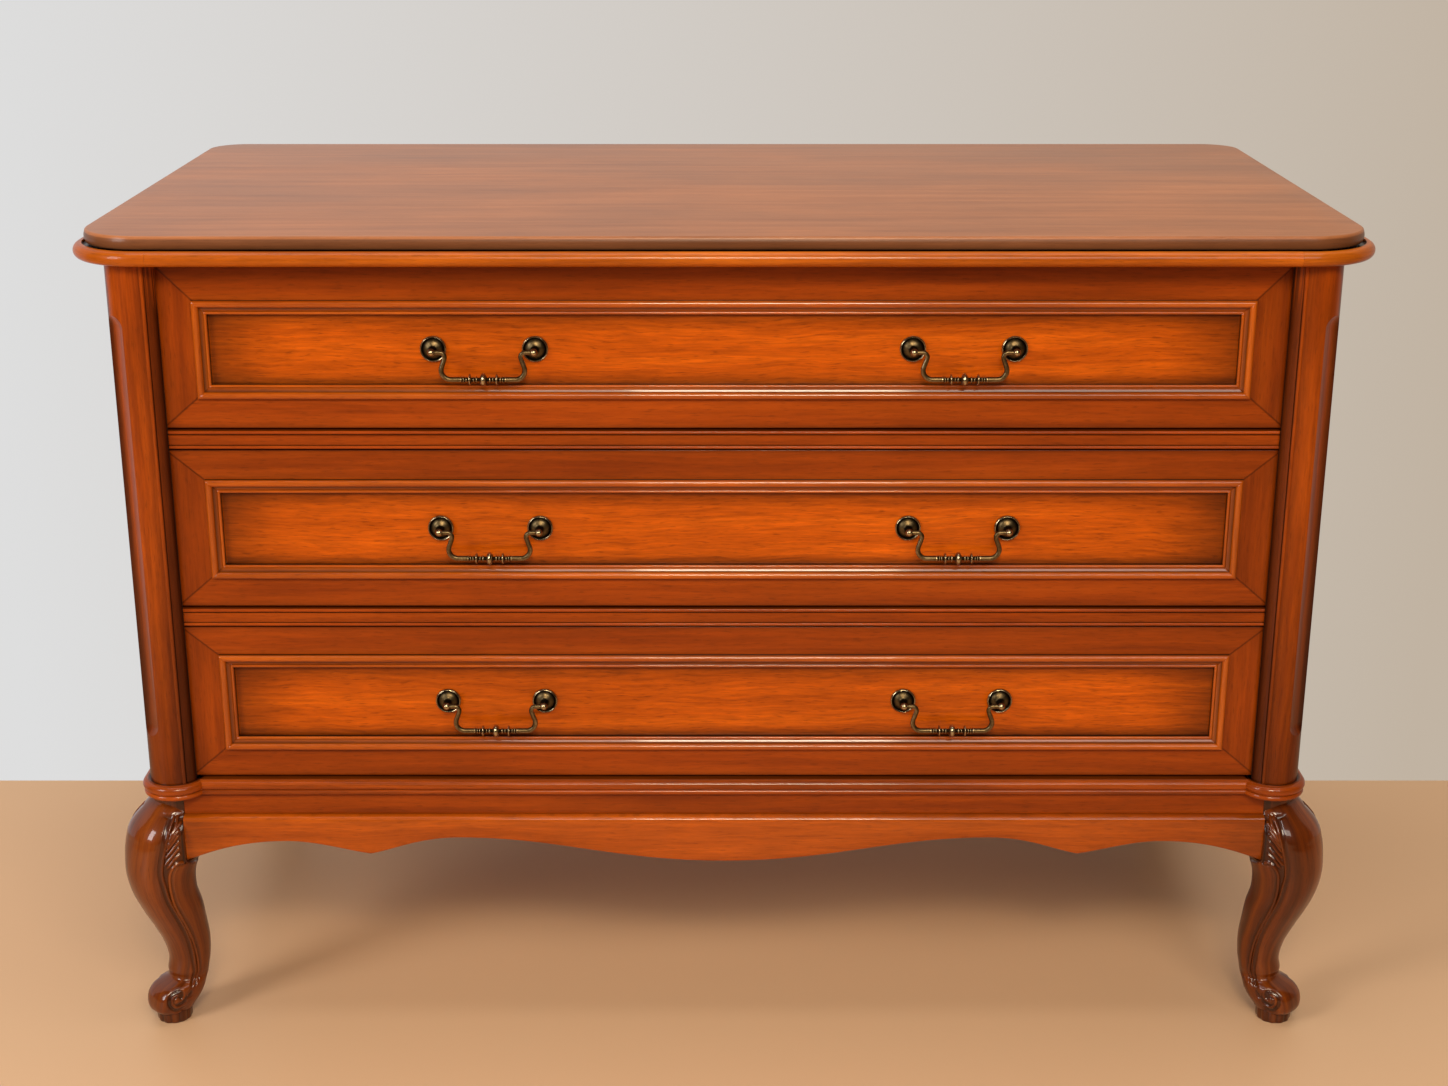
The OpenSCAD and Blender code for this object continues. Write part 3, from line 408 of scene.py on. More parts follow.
def bullnose():
    half = box["top_board"][1][0]
    rf, rb, block = topSize["frontRadius"] * mm, topSize["backRadius"] * mm, bullSize["block"] * mm
    joint = half - rf - block
    profile = bullProfile()
    # painted shade: dark underneath and in the sunk line
    tone = np.ones(len(profile))
    tone[[0, -3, -2, -1]] = (0.1, 0.05, 0.0, 0.0)
    piece = frontRun(-joint, joint, frontY, caseTop, profile, 1, tone)
    makePiece("bullnoseFront", piece, wood["bull"], ["bullnose_front"])
    # a short straight, the front corner, the side and part of the back corner
    corners = ((half - rf, frontY + rf, rf, -90, 0, 25),
               (half - rb, rearY - rb, rb, 0, bullSize["backTurn"], 16))
    points = np.vstack([[(joint + 0.0002, frontY)]] + [arc(*corner) for corner in corners])
    outs = np.vstack([[(0, -1)]] + [arc(0, 0, 1, *corner[3:]) for corner in corners])
    for hand, side in hands:
        piece = sideRun(side, caseTop, points, outs, profile, 2 + side, tone)
        makePiece("bullnose" + hand.capitalize(), piece, wood["bull"], ["bullnose_" + hand])


topBoard()
bullnose()
print("top made")


# the case: corner posts, then rails and band, then the base moulding
postSize = {"radius": 26, "openingHalf": 536, "strip": 2.5, "stripBack": 4.5, "quirkDepth": 9, "depth": 50,
            "flute": 40, "fluteDepth": 4.5, "fluteStop": 50, "fluteMargin": 2, "endShape": 0.62,
            "sideBead": 3, "sideBeadBack": 16, "behindEdge": 8, "wrap": 62}
postAxis = (caseX - postSize["radius"] * mm, frontY + (postSize["behindEdge"] + postSize["radius"]) * mm)


def fluteRadius(angle, z, low, high):
    # distance from the column's axis to its surface where a long hollow with round ends is cut into it.
    # angle is measured from the flute's middle. The cutter is a capsule whose axis lies outside the column.
    r = postSize["radius"] * mm
    big = postSize["flute"] * mm
    far = r - postSize["fluteDepth"] * mm + big
    past = np.maximum(np.maximum(low - z, z - high), 0) / postSize["endShape"]
    cut2 = np.maximum(big ** 2 - past ** 2, 0) - (far * np.sin(angle)) ** 2
    hollow = far * np.cos(angle) - np.sqrt(np.maximum(cut2, 0))
    return np.where((cut2 > 0) & (hollow < r), np.minimum(hollow, r), r)


def cornerPosts():
    s = {k: v * mm for k, v in postSize.items()}
    axisX, axisY = postAxis
    radius, inner, big, margin = s["radius"], s["openingHalf"], s["flute"], s["fluteMargin"]
    runOut = math.sqrt(big ** 2 - (big - s["fluteDepth"]) ** 2) * postSize["endShape"]
    caseBottom = box["base_moulding_front"][1][2]
    low, high = caseBottom + s["fluteStop"] + runOut, caseTop - s["fluteStop"] - runOut
    # up the post, fine at both ends of the flute
    z = np.concatenate([[bandTop], spread(caseBottom, [(low - runOut - margin, 6), (low + margin, 28),
                                                       (high - margin, 12), (high + runOut + margin, 28)]),
                        [caseTop]])
    far = radius - s["fluteDepth"] + big
    edge = math.acos((far ** 2 + radius ** 2 - big ** 2) / (2 * far * radius))
    # round the column from the quirk to the flat side, fine across the flute
    start, middle = math.radians(-90 - postSize["wrap"]), math.radians(-45)
    beside = edge + 0.02
    angles = spread(start, [(middle - beside, 30), (middle - edge, 2), (middle + edge, 61),
                            (middle + beside, 2), (0, 12)])
    zz, aa = np.meshgrid(z, angles, indexing="ij")
    r = fluteRadius(aa - middle, zz, low, high)
    column = gridOf(axisX + r * np.cos(aa), axisY + r * np.sin(aa), zz)
    # the flat side with its bead, the back, the inner face, the small bead and the quirk
    bead = arc(caseX, axisY + s["sideBeadBack"], s["sideBead"], -84, 84, 9)
    strip = arc(inner + s["strip"], axisY - radius + s["stripBack"], s["strip"], 180, 360, 11)
    lastX = axisX + radius * math.cos(start)
    backY, quirkY = axisY + s["depth"], axisY - radius + s["quirkDepth"] + 0.004
    rest = np.vstack([bead, [(caseX, backY), (inner, backY)], strip, [(inner + 2 * s["strip"], quirkY),
                      (lastX, quirkY), (lastX, axisY + radius * math.sin(start))]])
    post = np.concatenate([column, gridOf(rest[:, 0], rest[:, 1], z[:, None])], 1)
    across = lengthAlong(post[0])
    # painted shade: the column darkens towards the quirk and past the flute, and the inner face and the quirk
    # are dark
    turned = angles - start
    first = len(angles) + len(bead)
    tone = np.ones(post.shape[:2])
    tone[:, :len(angles)] = 0.1 + 0.35 * smoothStep(0, 0.3, turned) + 0.65 * smoothStep(0.25, 1.1, turned)
    tone[:, :len(angles)] *= 1 - 0.75 * smoothStep(middle, middle + edge, angles)
    # only the front of the bead between the inner face and the quirk is left light
    tone[:, first:] = [0.4, 0.3, 0, 0.05, 0.35, 0.85, 1, 1, 0.95, 0.8, 0.4, 0.1, 0, 0, 0, 0.15]
    # painted shade: the whole post is darker, and more so towards its foot
    tone *= 0.38 + 0.46 * smoothStep(bandTop, bandTop + 0.4, zz[:, :1])
    for hand, side in hands:
        points = post * np.array([side, 1, 1])
        shift = grainShift(5 + side)
        patches = [patch(points, gridOf(zz[:, :1] + shift[0], across + shift[1]), tone)]
        patches += endCaps(points, points[..., :2])
        makePiece("cornerPost" + hand.capitalize(), patches, wood["post"], ["corner_post_" + hand])


railSize = {"lowBead": 1.6, "highBead": 1.8, "face": 0.8, "groove": 0.9}
bandSize = {"arris": 0.6, "gap": 0.3, "tone": 0.76}


def railsAndBand():
    # a rail between two drawers: a flat with a bead along both edges
    lowR, highR, face, groove = (railSize[k] for k in ("lowBead", "highBead", "face", "groove"))
    out = max(lowR, highR)
    # painted shade: dark on the faces above and below, between the drawers, and in the grooves beside the
    # beads
    tone = np.concatenate([[0.4, 0.2, 0.3, 0.8], np.ones(6), [0.1, 0.1, 0.8, 0.9, 0.05, 0.05], np.ones(7),
                           [0.6, 0.3, 0.4]])
    for number, where in enumerate(("lower", "upper")):
        low, high = box["divider_" + where]
        h = (high[2] - low[2]) / mm
        back = -(high[1] - low[1]) / mm + out
        lowBead = arc(out - lowR, lowR, lowR, -90, 78, 9)
        highBead = arc(out - highR, h - highR, highR, -78, 90, 9)
        flat = [(face - groove, 2 * lowR + 0.1), (face - groove, 2 * lowR + 0.5), (face, 2 * lowR + 1.1),
                (face, h - 2 * highR - 1.3), (face - groove, h - 2 * highR - 0.6),
                (face - groove, h - 2 * highR - 0.1)]
        profile = np.vstack([[(back, 0)], lowBead, flat, highBead, [(back, h)]]) * mm
        piece = frontRun(low[0], high[0], low[1] + out * mm, low[2], profile, 9 + number, tone)
        makePiece("rail" + where.capitalize(), piece, wood["frame"], ["divider_" + where], sharp=30)
    low, high = box["band_front"]
    deep, tall = (high - low)[1:]
    arris, gap = bandSize["arris"] * mm, bandSize["gap"] * mm
    profile = [(0, 0), (deep - arris, 0), (deep, arris), (deep, tall), (0, tall)]
    # painted shade: the band is darker all over, under the base moulding
    piece = frontRun(low[0] + gap, high[0] - gap, high[1], low[2], profile, 12, [bandSize["tone"]] * 5)
    makePiece("band", piece, wood["frame"], ["band_front"])


baseSize = {"height": 16, "out": 8, "big": 5.1, "small": 3.0, "frontBack": 16, "overlap": 3.5}


def baseProfile(out):
    # (out from the wall, height): a small bead at the bottom, a quirk, and a large round with a fillet on top
    h, big, small = baseSize["height"], baseSize["big"], baseSize["small"]
    bead = arc(out - 1 - small, small, small, -90, 70, 9)
    nose = arc(out - big, h - big - 0.8, big, -72, 74, 13)
    top = [(out - big + 0.6, h - 0.9), (out - big - 0.2, h), (0, h)]
    return np.vstack([[(0, 0)], bead, nose, top]) * mm


def baseMoulding():
    s = baseSize
    wall = box["lower_drawer_front"][1][1]
    nose = frontY + s["frontBack"] * mm
    axisX, axisY = postAxis
    reach = (postSize["radius"] + s["out"]) * mm
    half = axisX - math.sqrt(max(reach ** 2 - (axisY - nose) ** 2, 0)) + s["overlap"] * mm
    # painted shade: dark underneath, in the quirk and on the top
    tone = np.ones(len(baseProfile(0)))
    tone[[0, 9, 10, 11]] = (0.1, 0.45, 0.1, 0.5)
    tone[-2:] = (0.5, 0.0)
    piece = frontRun(-half, half, wall, bandTop, baseProfile((wall - nose) / mm), 14, tone)
    makePiece("baseMouldingFront", piece, wood["base"], ["base_moulding_front"])
    # round the post and along the side
    sideEnd = (caseX, box["base_moulding_right"][1][1])
    points = np.vstack([arc(axisX, axisY, postSize["radius"] * mm, -178, 0, 49), [sideEnd]])
    outs = np.vstack([arc(0, 0, 1, -178, 0, 49), [(1, 0)]])
    for hand, side in hands:
        piece = sideRun(side, bandTop, points, outs, baseProfile(s["out"]), 15 + side, tone)
        makePiece("baseMoulding" + hand.capitalize(), piece, wood["base"], ["base_moulding_" + hand])


cornerPosts()
railsAndBand()
baseMoulding()
print("case made")


# the aprons between the legs
apronSize = {"belly": 51, "arch": 25, "outerArch": 29, "cusp": 43, "end": 50, "thick": 22, "swell": 5,
             "edgeRound": 1.6, "archX": 442, "cuspX": 358, "innerX": 268, "sideShares": (0.8, 0.64, 0.48)}
# the curves between the turning points of the lower edge: how far the first handle reaches, as a share of
# the curve's width, and how much it rises, the same for the last handle, and the number of points
edgeHandles = [(0.42, 0, 0.38, 0, 40), (0.45, 0, 0.25, 4, 24), (0.3, 4, 0.35, 0, 24), (0.45, 0, 0.25, 10, 30)]


def cubic(p, n):
    # a cubic curve through its first and last control point
    t = np.linspace(0, 1, n)[:, None]
    p = np.array(p, float)
    return (1 - t) ** 3 * p[0] + 3 * (1 - t) ** 2 * t * p[1] + 3 * (1 - t) * t ** 2 * p[2] + t ** 3 * p[3]


def lowerEdge(half, archX, cuspX, innerX):
    # depth of the apron against the distance from its middle, over one half
    s = apronSize
    turns = np.array([(0, s["belly"]), (innerX, s["arch"]), (cuspX, s["cusp"]), (archX, s["outerArch"]),
                      (half, s["end"])])
    parts = [turns[:1]]
    for a, b, (firstX, firstRise, lastX, lastRise, n) in zip(turns, turns[1:], edgeHandles):
        wide = b[0] - a[0]
        handles = [(a[0] + firstX * wide, a[1] - firstRise), (b[0] - lastX * wide, b[1] - lastRise)]
        parts.append(cubic([a] + handles + [b], n)[1:])
    return np.vstack(parts)


def apron(where, half, places, origin, along, outward, number):
    # rows run along the apron, columns round its section: rounded top, swelling face, rounded foot, back
    right = lowerEdge(half, *places)
    edge = np.vstack([right[:0:-1] * np.array([-1, 1]), right])
    depth = edge[:, 1:]
    thick, swell, r = (apronSize[k] for k in ("thick", "swell", "edgeRound"))
    upper, lower = np.radians(np.linspace(90, 0, 10)), np.radians(np.linspace(12, 90, 6))
    k = np.linspace(0, 1, 14)[1:]
    out = np.concatenate([-swell * (1 - np.cos(upper)), -0.8 * swell * k ** 2,
                          -0.8 * swell - r * (1 - np.cos(lower)), [-thick, -thick]])
    drop = np.hstack([0 * depth - swell * (1 - np.sin(upper)), -swell - k * (depth - swell - r),
                      -(depth - r) - r * np.sin(lower), -depth, 0 * depth])
    out, drop = np.append(out, out[0]) * mm, np.hstack([drop, drop[:, :1]]) * mm
    place = edge[:, :1] * mm * np.ones(len(out))
    points = (np.array(origin) + place[..., None] * np.array(along) + out[:, None] * np.array(outward)
              + drop[..., None] * up)
    shift = grainShift(number)
    uv = gridOf(place + shift[0], -drop + shift[1])
    # painted shade: darker towards the legs
    away, end = np.abs(place), half * mm
    tone = 1 - 0.25 * smoothStep(0.35, 1.0, away / end) * smoothStep(end - 0.09, end, away)
    patches = [patch(points, uv, tone)] + endCaps(points, uv)
    makePiece("apron" + where.capitalize(), patches, wood["apron"], ["apron_" + where], sharp=40)


def aprons():
    s = apronSize
    low, high = box["apron_front"]
    apron("front", high[0] / mm, (s["archX"], s["cuspX"], s["innerX"]), (0, low[1], standH), (1, 0, 0),
          outOfFront, 20)
    for hand, side in hands:
        low, high = box["apron_" + hand]
        half = (high[1] - low[1]) / 2 / mm
        origin = (high[0] if side > 0 else low[0], (low[1] + high[1]) / 2, standH)
        places = [share * half for share in s["sideShares"]]
        apron(hand, half, places, origin, (0, 1, 0), (side, 0, 0), 21 + side)


aprons()
print("aprons made")


# the drawer fronts, each with a framed field and a moulding round it
frontSize = {"frameSide": 35, "frameEdge": 29, "moulding": 14, "mouldingOut": 6, "fieldDepth": 4, "hidden": 8,
             "arris": 1.3, "mitre": 0.12, "mouldingMitre": 0.25, "veneer": 0.2, "fieldGap": 0.4}
# painted shade: the frame is dark on its hidden edges and beside the moulding; a fine dark line marks where
# its strips meet
frameShadeAndJoints = {"edge": (0.4, 0.3, 0.25, 0.25, 0.32, 0.48, 0.7), "nextToEdge": (0.88, 0.97),
             "atMoulding": (0.9, 0.55, 0.03), "mitre": 0.45, "nextToMitre": 0.88,
             "sides": (1, 0.82, 0.96, 0.92)}
# painted shade on the moulding: dark lines along its outside and inside, and in the step between its nose and
# slope
mouldingShade = {"outside": (0.0, 0.1, 0.45, 0.75, 0.95), "step": (0.75, 0.5, 0.3, 0.75, 0.7, 0.2),
                "inside": (0.9, 0.6, 0.05, 0.0, 0.0, 0.0, 0.0)}


def besideMitres(low, high):
    # places along a mitred strip: close together at both ends, for the dark line at the mitre
    near = 0.0006
    return np.stack([low, low + near, low + 3 * near, (low + high) / 2, high - 3 * near, high - near, high])


def frontPlaces(level):
    # face and field of one drawer front: half widths and heights, in metres
    low, high = box[level + "_drawer_front"]
    s = frontSize
    seenTop = min(high[2], caseTop - s["hidden"] * mm)
    inset = (s["frameSide"] + s["moulding"]) * mm
    return {"half": high[0], "low": low[2], "high": high[2], "face": low[1], "back": high[1],
            "fieldHalf": high[0] - inset, "fieldLow": low[2] + (s["frameEdge"] + s["moulding"]) * mm,
            "fieldHigh": seenTop - (s["frameEdge"] + s["moulding"]) * mm,
            "floor": low[1] + s["fieldDepth"] * mm}


def drawerFront(level, number):
    # the frame, as one grid for each side, and the board behind it
    s, p = frontSize, frontPlaces(level)
    r, face, overlap = s["arris"] * mm, p["face"], s["moulding"] * mm / 2
    innerX = p["fieldHalf"] + overlap
    outer = {-1: p["low"], 1: p["high"]}
    inner = {-1: p["fieldLow"] - overlap, 1: p["fieldHigh"] + overlap}
    edge = np.vstack([[(0, p["back"])], arc(r, face + r, r, 180, 270, 6)])   # (inset, y)

    def section(cx, cz):
        # down one mitre: the outer edge, the face, and the rebate down to the field
        start = np.array([cx * (p["half"] - r), face, outer[cz] - cz * r])
        stop = np.array([cx * innerX, face, inner[cz]])
        rounded = np.column_stack([cx * (p["half"] - edge[:, 0]), edge[:, 1], outer[cz] - cz * edge[:, 0]])
        flat = start + np.linspace(0, 1, 12)[1:, None] * (stop - start)
        return np.vstack([rounded, flat, [(stop[0], p["floor"], stop[2])]])

    corners = [(-1, -1), (1, -1), (1, 1), (-1, 1)]
    sections = [section(cx, cz) for cx, cz in corners]
    tone = np.ones((7, len(sections[0])))
    tone[:, :len(edge)] = frameShadeAndJoints["edge"]
    tone[:, len(edge):len(edge) + 2] = frameShadeAndJoints["nextToEdge"]
    tone[:, -3:] = frameShadeAndJoints["atMoulding"]
    tone[[0, 1, -2, -1]] *= frameShadeAndJoints["mitre"]
    tone[[2, 4]] *= frameShadeAndJoints["nextToMitre"]
    onFace = np.zeros(len(sections[0]))
    onFace[len(edge) - 1:-1] = s["mitre"] * mm
    shift = grainShift(30 + number)
    patches = []
    for side in range(4):
        first, last = sections[side], sections[(side + 1) % 4]
        length = np.linalg.norm(last - first, axis=1)[:, None]
        points = first + besideMitres(0 * length, length) * ((last - first) / length)
        points[[0, -1], :, 1] += onFace
        uv = gridOf(points[..., 2 * (side % 2)] + shift[0] + 0.53 * side,
                    lengthAlong(points[3]) + shift[1] + 0.31 * side)
        # painted shade: the right, left and top strips are darker than the bottom one, the right one most
        patches.append(patch(points, uv, tone * frameShadeAndJoints["sides"][side]))
    back = np.array([(cx * p["half"], p["back"], outer[cz]) for cx, cz in corners])
    floor = np.array([(cx * innerX, p["floor"], inner[cz]) for cx, cz in corners])
    # painted shade: the back of the front a little darker, and the floor of the rebate darker still
    patches += [capPatch(back, back[:, [0, 2]] + 2.0, 0.8), capPatch(floor, floor[:, [0, 2]], 0.4)]
    makePiece(level + "DrawerFrame", patches, wood["frame"], [level + "_drawer_front"], level + "_drawer",
              sharp=50)


def drawerField(level, number):
    # the sunk field: a thin veneered panel, with painted shade that darkens it towards its edges
    s, p = frontSize, frontPlaces(level)
    y, thin = p["floor"], s["veneer"] * mm
    grow = s["moulding"] * mm / 2 - s["fieldGap"] * mm
    x = np.linspace(-p["fieldHalf"] - grow, p["fieldHalf"] + grow, 121)
    z = np.linspace(p["fieldLow"] - grow, p["fieldHigh"] + grow, 25)
    xx, zz = np.meshgrid(x, z, indexing="ij")
    side = smoothStep(-0.02, 0.085, p["fieldHalf"] - np.abs(xx))
    tall = smoothStep(-0.001, 0.012, zz - p["fieldLow"]) * smoothStep(-0.002, 0.022, p["fieldHigh"] - zz)
    tone = (0.38 + 0.62 * side) * (0.42 + 0.58 * tall)
    points = gridOf(xx, y - thin, zz)
    ring = np.array([[x[0], y, z[0]], [x[-1], y, z[0]], [x[-1], y, z[-1]], [x[0], y, z[-1]]])
    patches = [patch(points, points[..., [0, 2]] + grainShift(40 + number), tone),
               capPatch(ring, ring[:, [0, 2]])]
    for line in (points[0], points[-1], points[:, 0], points[:, -1]):
        wall = np.stack([line, line + np.array([0, thin, 0])])
        patches.append(patch(wall, wall[..., [0, 2]]))
    makePiece(level + "DrawerField", patches, wood["field"], [], level + "_drawer", sharp=50)


def mouldingProfile(face):
    # (inset from the outer line, y): a round nose, a step, a slope and a small bead beside the field
    w, out, back = frontSize["moulding"], frontSize["mouldingOut"], 0.1 - frontSize["fieldDepth"]
    nose = arc(3.7, out - 3.4, 3.4, 184, 14, 14)
    slope = [(7.3, 2.7), (7.5, 2.3), (10.6, 1.2), (10.9, 0.8)]
    bead = arc(w - 1.5, 0.55, 1.45, 165, -30, 9)
    profile = np.vstack([[(0.2, 0)], nose, slope, bead, [(w, back), (w / 2, back), (w / 2, 0)]])
    profile = np.vstack([profile, profile[:1]])
    return np.stack([profile[:, 0] * mm, face - profile[:, 1] * mm], -1)


def drawerMoulding(level, number):
    # the profile carried round the field, with mitred corners; the grain runs along each side
    p = frontPlaces(level)
    profile = mouldingProfile(p["face"])
    tone = np.ones(len(profile))
    tone[:5] = mouldingShade["outside"]
    tone[14:20] = mouldingShade["step"]
    tone[-7:] = mouldingShade["inside"]
    grow, shift, v = frontSize["moulding"] * mm, grainShift(50 + number), lengthAlong(profile)
    halfX, low, high = p["fieldHalf"] + grow, p["fieldLow"] - grow, p["fieldHigh"] + grow
    halfZ, middle = (high - low) / 2, (low + high) / 2
    patches = []
    for side in range(4):
        half, other = (halfX, halfZ) if side % 2 == 0 else (halfZ, halfX)
        reach = half - profile[:, 0]
        length = besideMitres(-reach, reach)
        away = other - profile[:, 0]
        y = profile[:, 1] + np.zeros(length.shape)
        y[[0, -1]] += frontSize["mouldingMitre"] * mm
        x, z = [(length, -away), (away, length), (-length, away), (-away, -length)][side]
        uv = gridOf(length + shift[0] + 0.37 * side, v + shift[1] + 0.21 * side)
        patches.append(patch(gridOf(x, y, z + middle), uv, tone))
    makePiece(level + "DrawerMoulding", patches, wood["moulding"], [level + "_drawer_moulding"],
              level + "_drawer", sharp=40)


for number, level in enumerate(levels):
    drawerFront(level, number)
    drawerField(level, number)
    drawerMoulding(level, number)
print("drawer fronts made")


# the pulls, each a bail hung between two posts
pullSize = {"x": 226, "centres": 96, "rosette": 12.5, "neck": 2.6, "ball": 3.6, "pivot": 16, "rod": 2.2,
            "bar": 2.5, "drop": 26, "bendIn": 7.9, "bend": 4.5, "swan": 9, "lean": 20, "turning": 43,
            "turningRound": 6.2, "pin": 1.4}
# outlines in millimetres. The rosette has a raised rim, a dark ring and a dome: (out, change of radius, tone)
rosetteLine = [(0, -0.3, 0.1), (0.5, 0, 0.3), (1.7, 0, 0.6), (2.5, -0.3, 0.95), (2.8, -0.8, 1),
               (2.5, -1.4, 0.6), (1.6, -1.9, 0.05), (1.2, -2.6, 0), (1.6, -3.2, 0.1), (2.5, -4, 0.3),
               (3.3, -5.2, 0.4), (4, -6.6, 0.45), (4.5, -8, 0.35)]
neckLine = [(5.2, 0.9, 0.12), (6.6, 0, 0.1), (pullSize["pivot"] - 4.3, -0.3, 0.12),
            (pullSize["pivot"] - 3.4, -0.3, 0.2)]
# stud, washer and nut behind the front: number of sides, tone, and (out from the front's back, radius)
fasteners = [(24, 0.5, [(-5, 0), (-5, 1.7), (-4.7, 2), (3, 2), (3, 0)]),
             (24, 0.6, [(0, 2), (0, 5.4), (-0.2, 5.6), (-1, 5.6), (-1.1, 5.2), (-1.1, 2), (0, 2)]),
             (6, 0.6, [(-1.1, 2), (-1.1, 3.8), (-1.4, 4), (-3.7, 4), (-4, 3.7), (-4, 2), (-1.1, 2)])]
# beads and rings of the bail's turned middle: (distance from its middle, radius, half length, tone)
turningBeads = [(0, pullSize["turningRound"], 3.2, 0.9), (6.3, 3.0, 1.2, 0.8), (9.2, 2.7, 0.9, 0.8),
                (12.7, 5.6, 1.4, 0.9), (16.0, 2.8, 1.0, 0.8), (18.4, 3.2, 0.9, 0.8), (20.6, 3.7, 1.0, 0.9)]


def lathe(profile, centre, axis, turns, tone):
    # profile in millimetres (distance along the axis, radius) turned round the axis through centre
    profile, axis = np.asarray(profile, float) * mm, np.asarray(axis, float)
    sideways = np.array([1.0, 0, 0]) if abs(axis[0]) < 0.5 else up
    other = np.cross(axis, sideways)
    a = np.linspace(0, 2 * math.pi, turns + 1)
    ring = np.cos(a)[:, None] * sideways + np.sin(a)[:, None] * other
    points = np.asarray(centre) + profile[None, :, :1] * axis + profile[None, :, 1:] * ring[:, None, :]
    return patch(points, gridOf(a[:, None] * 0.01, lengthAlong(profile)), tone)


def posts(level, hand, side, pullZ, field):
    s = pullSize
    ball = arc(s["pivot"], 0, s["ball"], 142, 0, 14)
    outline = np.vstack([[(0, 0, 0)], np.array(rosetteLine) + (0, s["rosette"], 0),
                         np.array(neckLine) + (0, s["neck"], 0),
                         np.column_stack([ball[:, 0], np.maximum(ball[:, 1], 0),
                                          0.4 + 0.5 * (ball[:, 0] - s["pivot"] + 4) / 8])])
    centres = [(side * s["x"] * mm + end * s["centres"] * mm / 2, field, pullZ) for end in (-1, 1)]
    hand, body, node = hand.capitalize(), level + "_drawer", level + "_posts_" + hand
    patches = [lathe(outline[:, :2], centre, outOfFront, 44, outline[:, 2]) for centre in centres]
    makePiece(level + "Posts" + hand, patches, brass, [node], body, sharp=50)
    depth = (box[level + "_drawer_front"][1][1] - field) / mm
    patches = [lathe(np.array(line) - (depth, 0), centre, outOfFront, sides, tone)
               for centre in centres for sides, tone, line in fasteners]
    makePiece(level + "Nuts" + hand, patches, brass, [], body, sharp=30)


def bailPath():
    # half of the bail's line in its own plane, from the ball to the turning: (x, z), and the rod's radius
    s = pullSize
    lean = math.radians(90 - s["lean"])
    bendX = s["centres"] / 2 - s["bendIn"]
    upper = np.array([bendX - s["bend"] * math.sin(lean), -s["bend"] * (1 + math.cos(lean))])
    neck = (s["drop"] + upper[1] - s["swan"] * (1 + math.cos(lean))) / math.sin(lean)
    lower = upper + neck * np.array([math.cos(lean), -math.sin(lean)])
    swan = lower - s["swan"] * np.array([math.sin(lean), math.cos(lean)])
    first = np.radians(np.linspace(180, 270 + s["lean"], 22))
    second = np.radians(np.linspace(270 + s["lean"], 180, 26))
    line = np.vstack([
        [(s["centres"] / 2 - s["ball"] + 0.6, 0)], [(bendX + 2.5, 0)],
        np.stack([bendX + s["bend"] * np.sin(first), -s["bend"] - s["bend"] * np.cos(first)], -1),
        np.stack([swan[0] - s["swan"] * np.sin(second), swan[1] + s["swan"] * np.cos(second)], -1),
        [(s["turning"] / 2 + 3, -s["drop"])], [(s["turning"] / 2 - 1, -s["drop"])]])
    t = lengthAlong(line)
    return line, s["rod"] + (s["bar"] - s["rod"]) * smoothStep(0.1, 0.8, t / t[-1])


def turning(centre):
    # the turned middle of the bail: a thin bar, and each bead stands out of it as a half ellipse
    half = pullSize["turning"] / 2
    x = np.linspace(-half, half, 181)
    r, tone = np.full(len(x), 1.8), np.full(len(x), 0.05)
    for place, high, long, bright in turningBeads:
        away = np.abs(np.abs(x) - place) / long
        hump = np.where(away < 1, high * np.sqrt(np.maximum(1 - (0.92 * away) ** 2, 0)), 0)
        tone = np.where(hump > r, 0.35 + (bright - 0.35) * np.sqrt(np.maximum(1 - away ** 2, 0)), tone)
        r = np.maximum(r, hump)
    r = np.where(np.abs(x) > half - 1, pullSize["bar"], r)
    outline = np.vstack([[(-half, 0)], np.column_stack([x, r]), [(half, 0)]])
    return lathe(outline, centre, (1, 0, 0), 26, np.concatenate([[0.3], tone, [0.3]]))


def bail(level, hand, side, pullZ, pivotY):
    s = pullSize
    centre = np.array([side * s["x"] * mm, pivotY, pullZ])
    line, radius = bailPath()
    tangent = np.gradient(line, axis=0)
    tangent /= np.linalg.norm(tangent, axis=1)[:, None]
    across = np.stack([-tangent[:, 1], tangent[:, 0]], -1)
    a = np.linspace(0, 2 * math.pi, 19)
    flat = line[:, None, :] + (radius[:, None] * np.cos(a))[..., None] * across[:, None, :]
    y = radius[:, None] * np.sin(a)
    uv = gridOf(lengthAlong(line)[:, None] * mm, a * 0.003)
    patches, pins = [], []
    pinIn, pinOut = s["centres"] / 2 - s["bendIn"] + 1, s["centres"] / 2 - 1
    for end in (-1, 1):
        points = centre + np.stack([end * flat[..., 0], y, flat[..., 1]], -1) * mm
        patches += [patch(points, uv, 0.58 + 0.2 * np.cos(a))] + endCaps(points, points[..., :2], 0.4)
        pin = [(end * pinIn, 0), (end * pinIn, s["pin"]), (end * pinOut, s["pin"]), (end * pinOut, 0)]
        pins.append(lathe(pin, centre, (1, 0, 0), 16, 0.3))
    patches.append(turning(centre - np.array([0, 0, s["drop"] * mm])))
    body = level + "_bail_" + hand
    makePiece(level + "Bail" + hand.capitalize(), patches + pins, brass, [body], body,
              sharp=50, merge=0.000005)


for level in levels:
    p = frontPlaces(level)
    pullZ = (p["fieldLow"] + p["fieldHigh"]) / 2
    for hand, side in hands:
        posts(level, hand, side, pullZ, p["floor"])
        bail(level, hand, side, pullZ, p["floor"] - pullSize["pivot"] * mm)
print("pulls made")


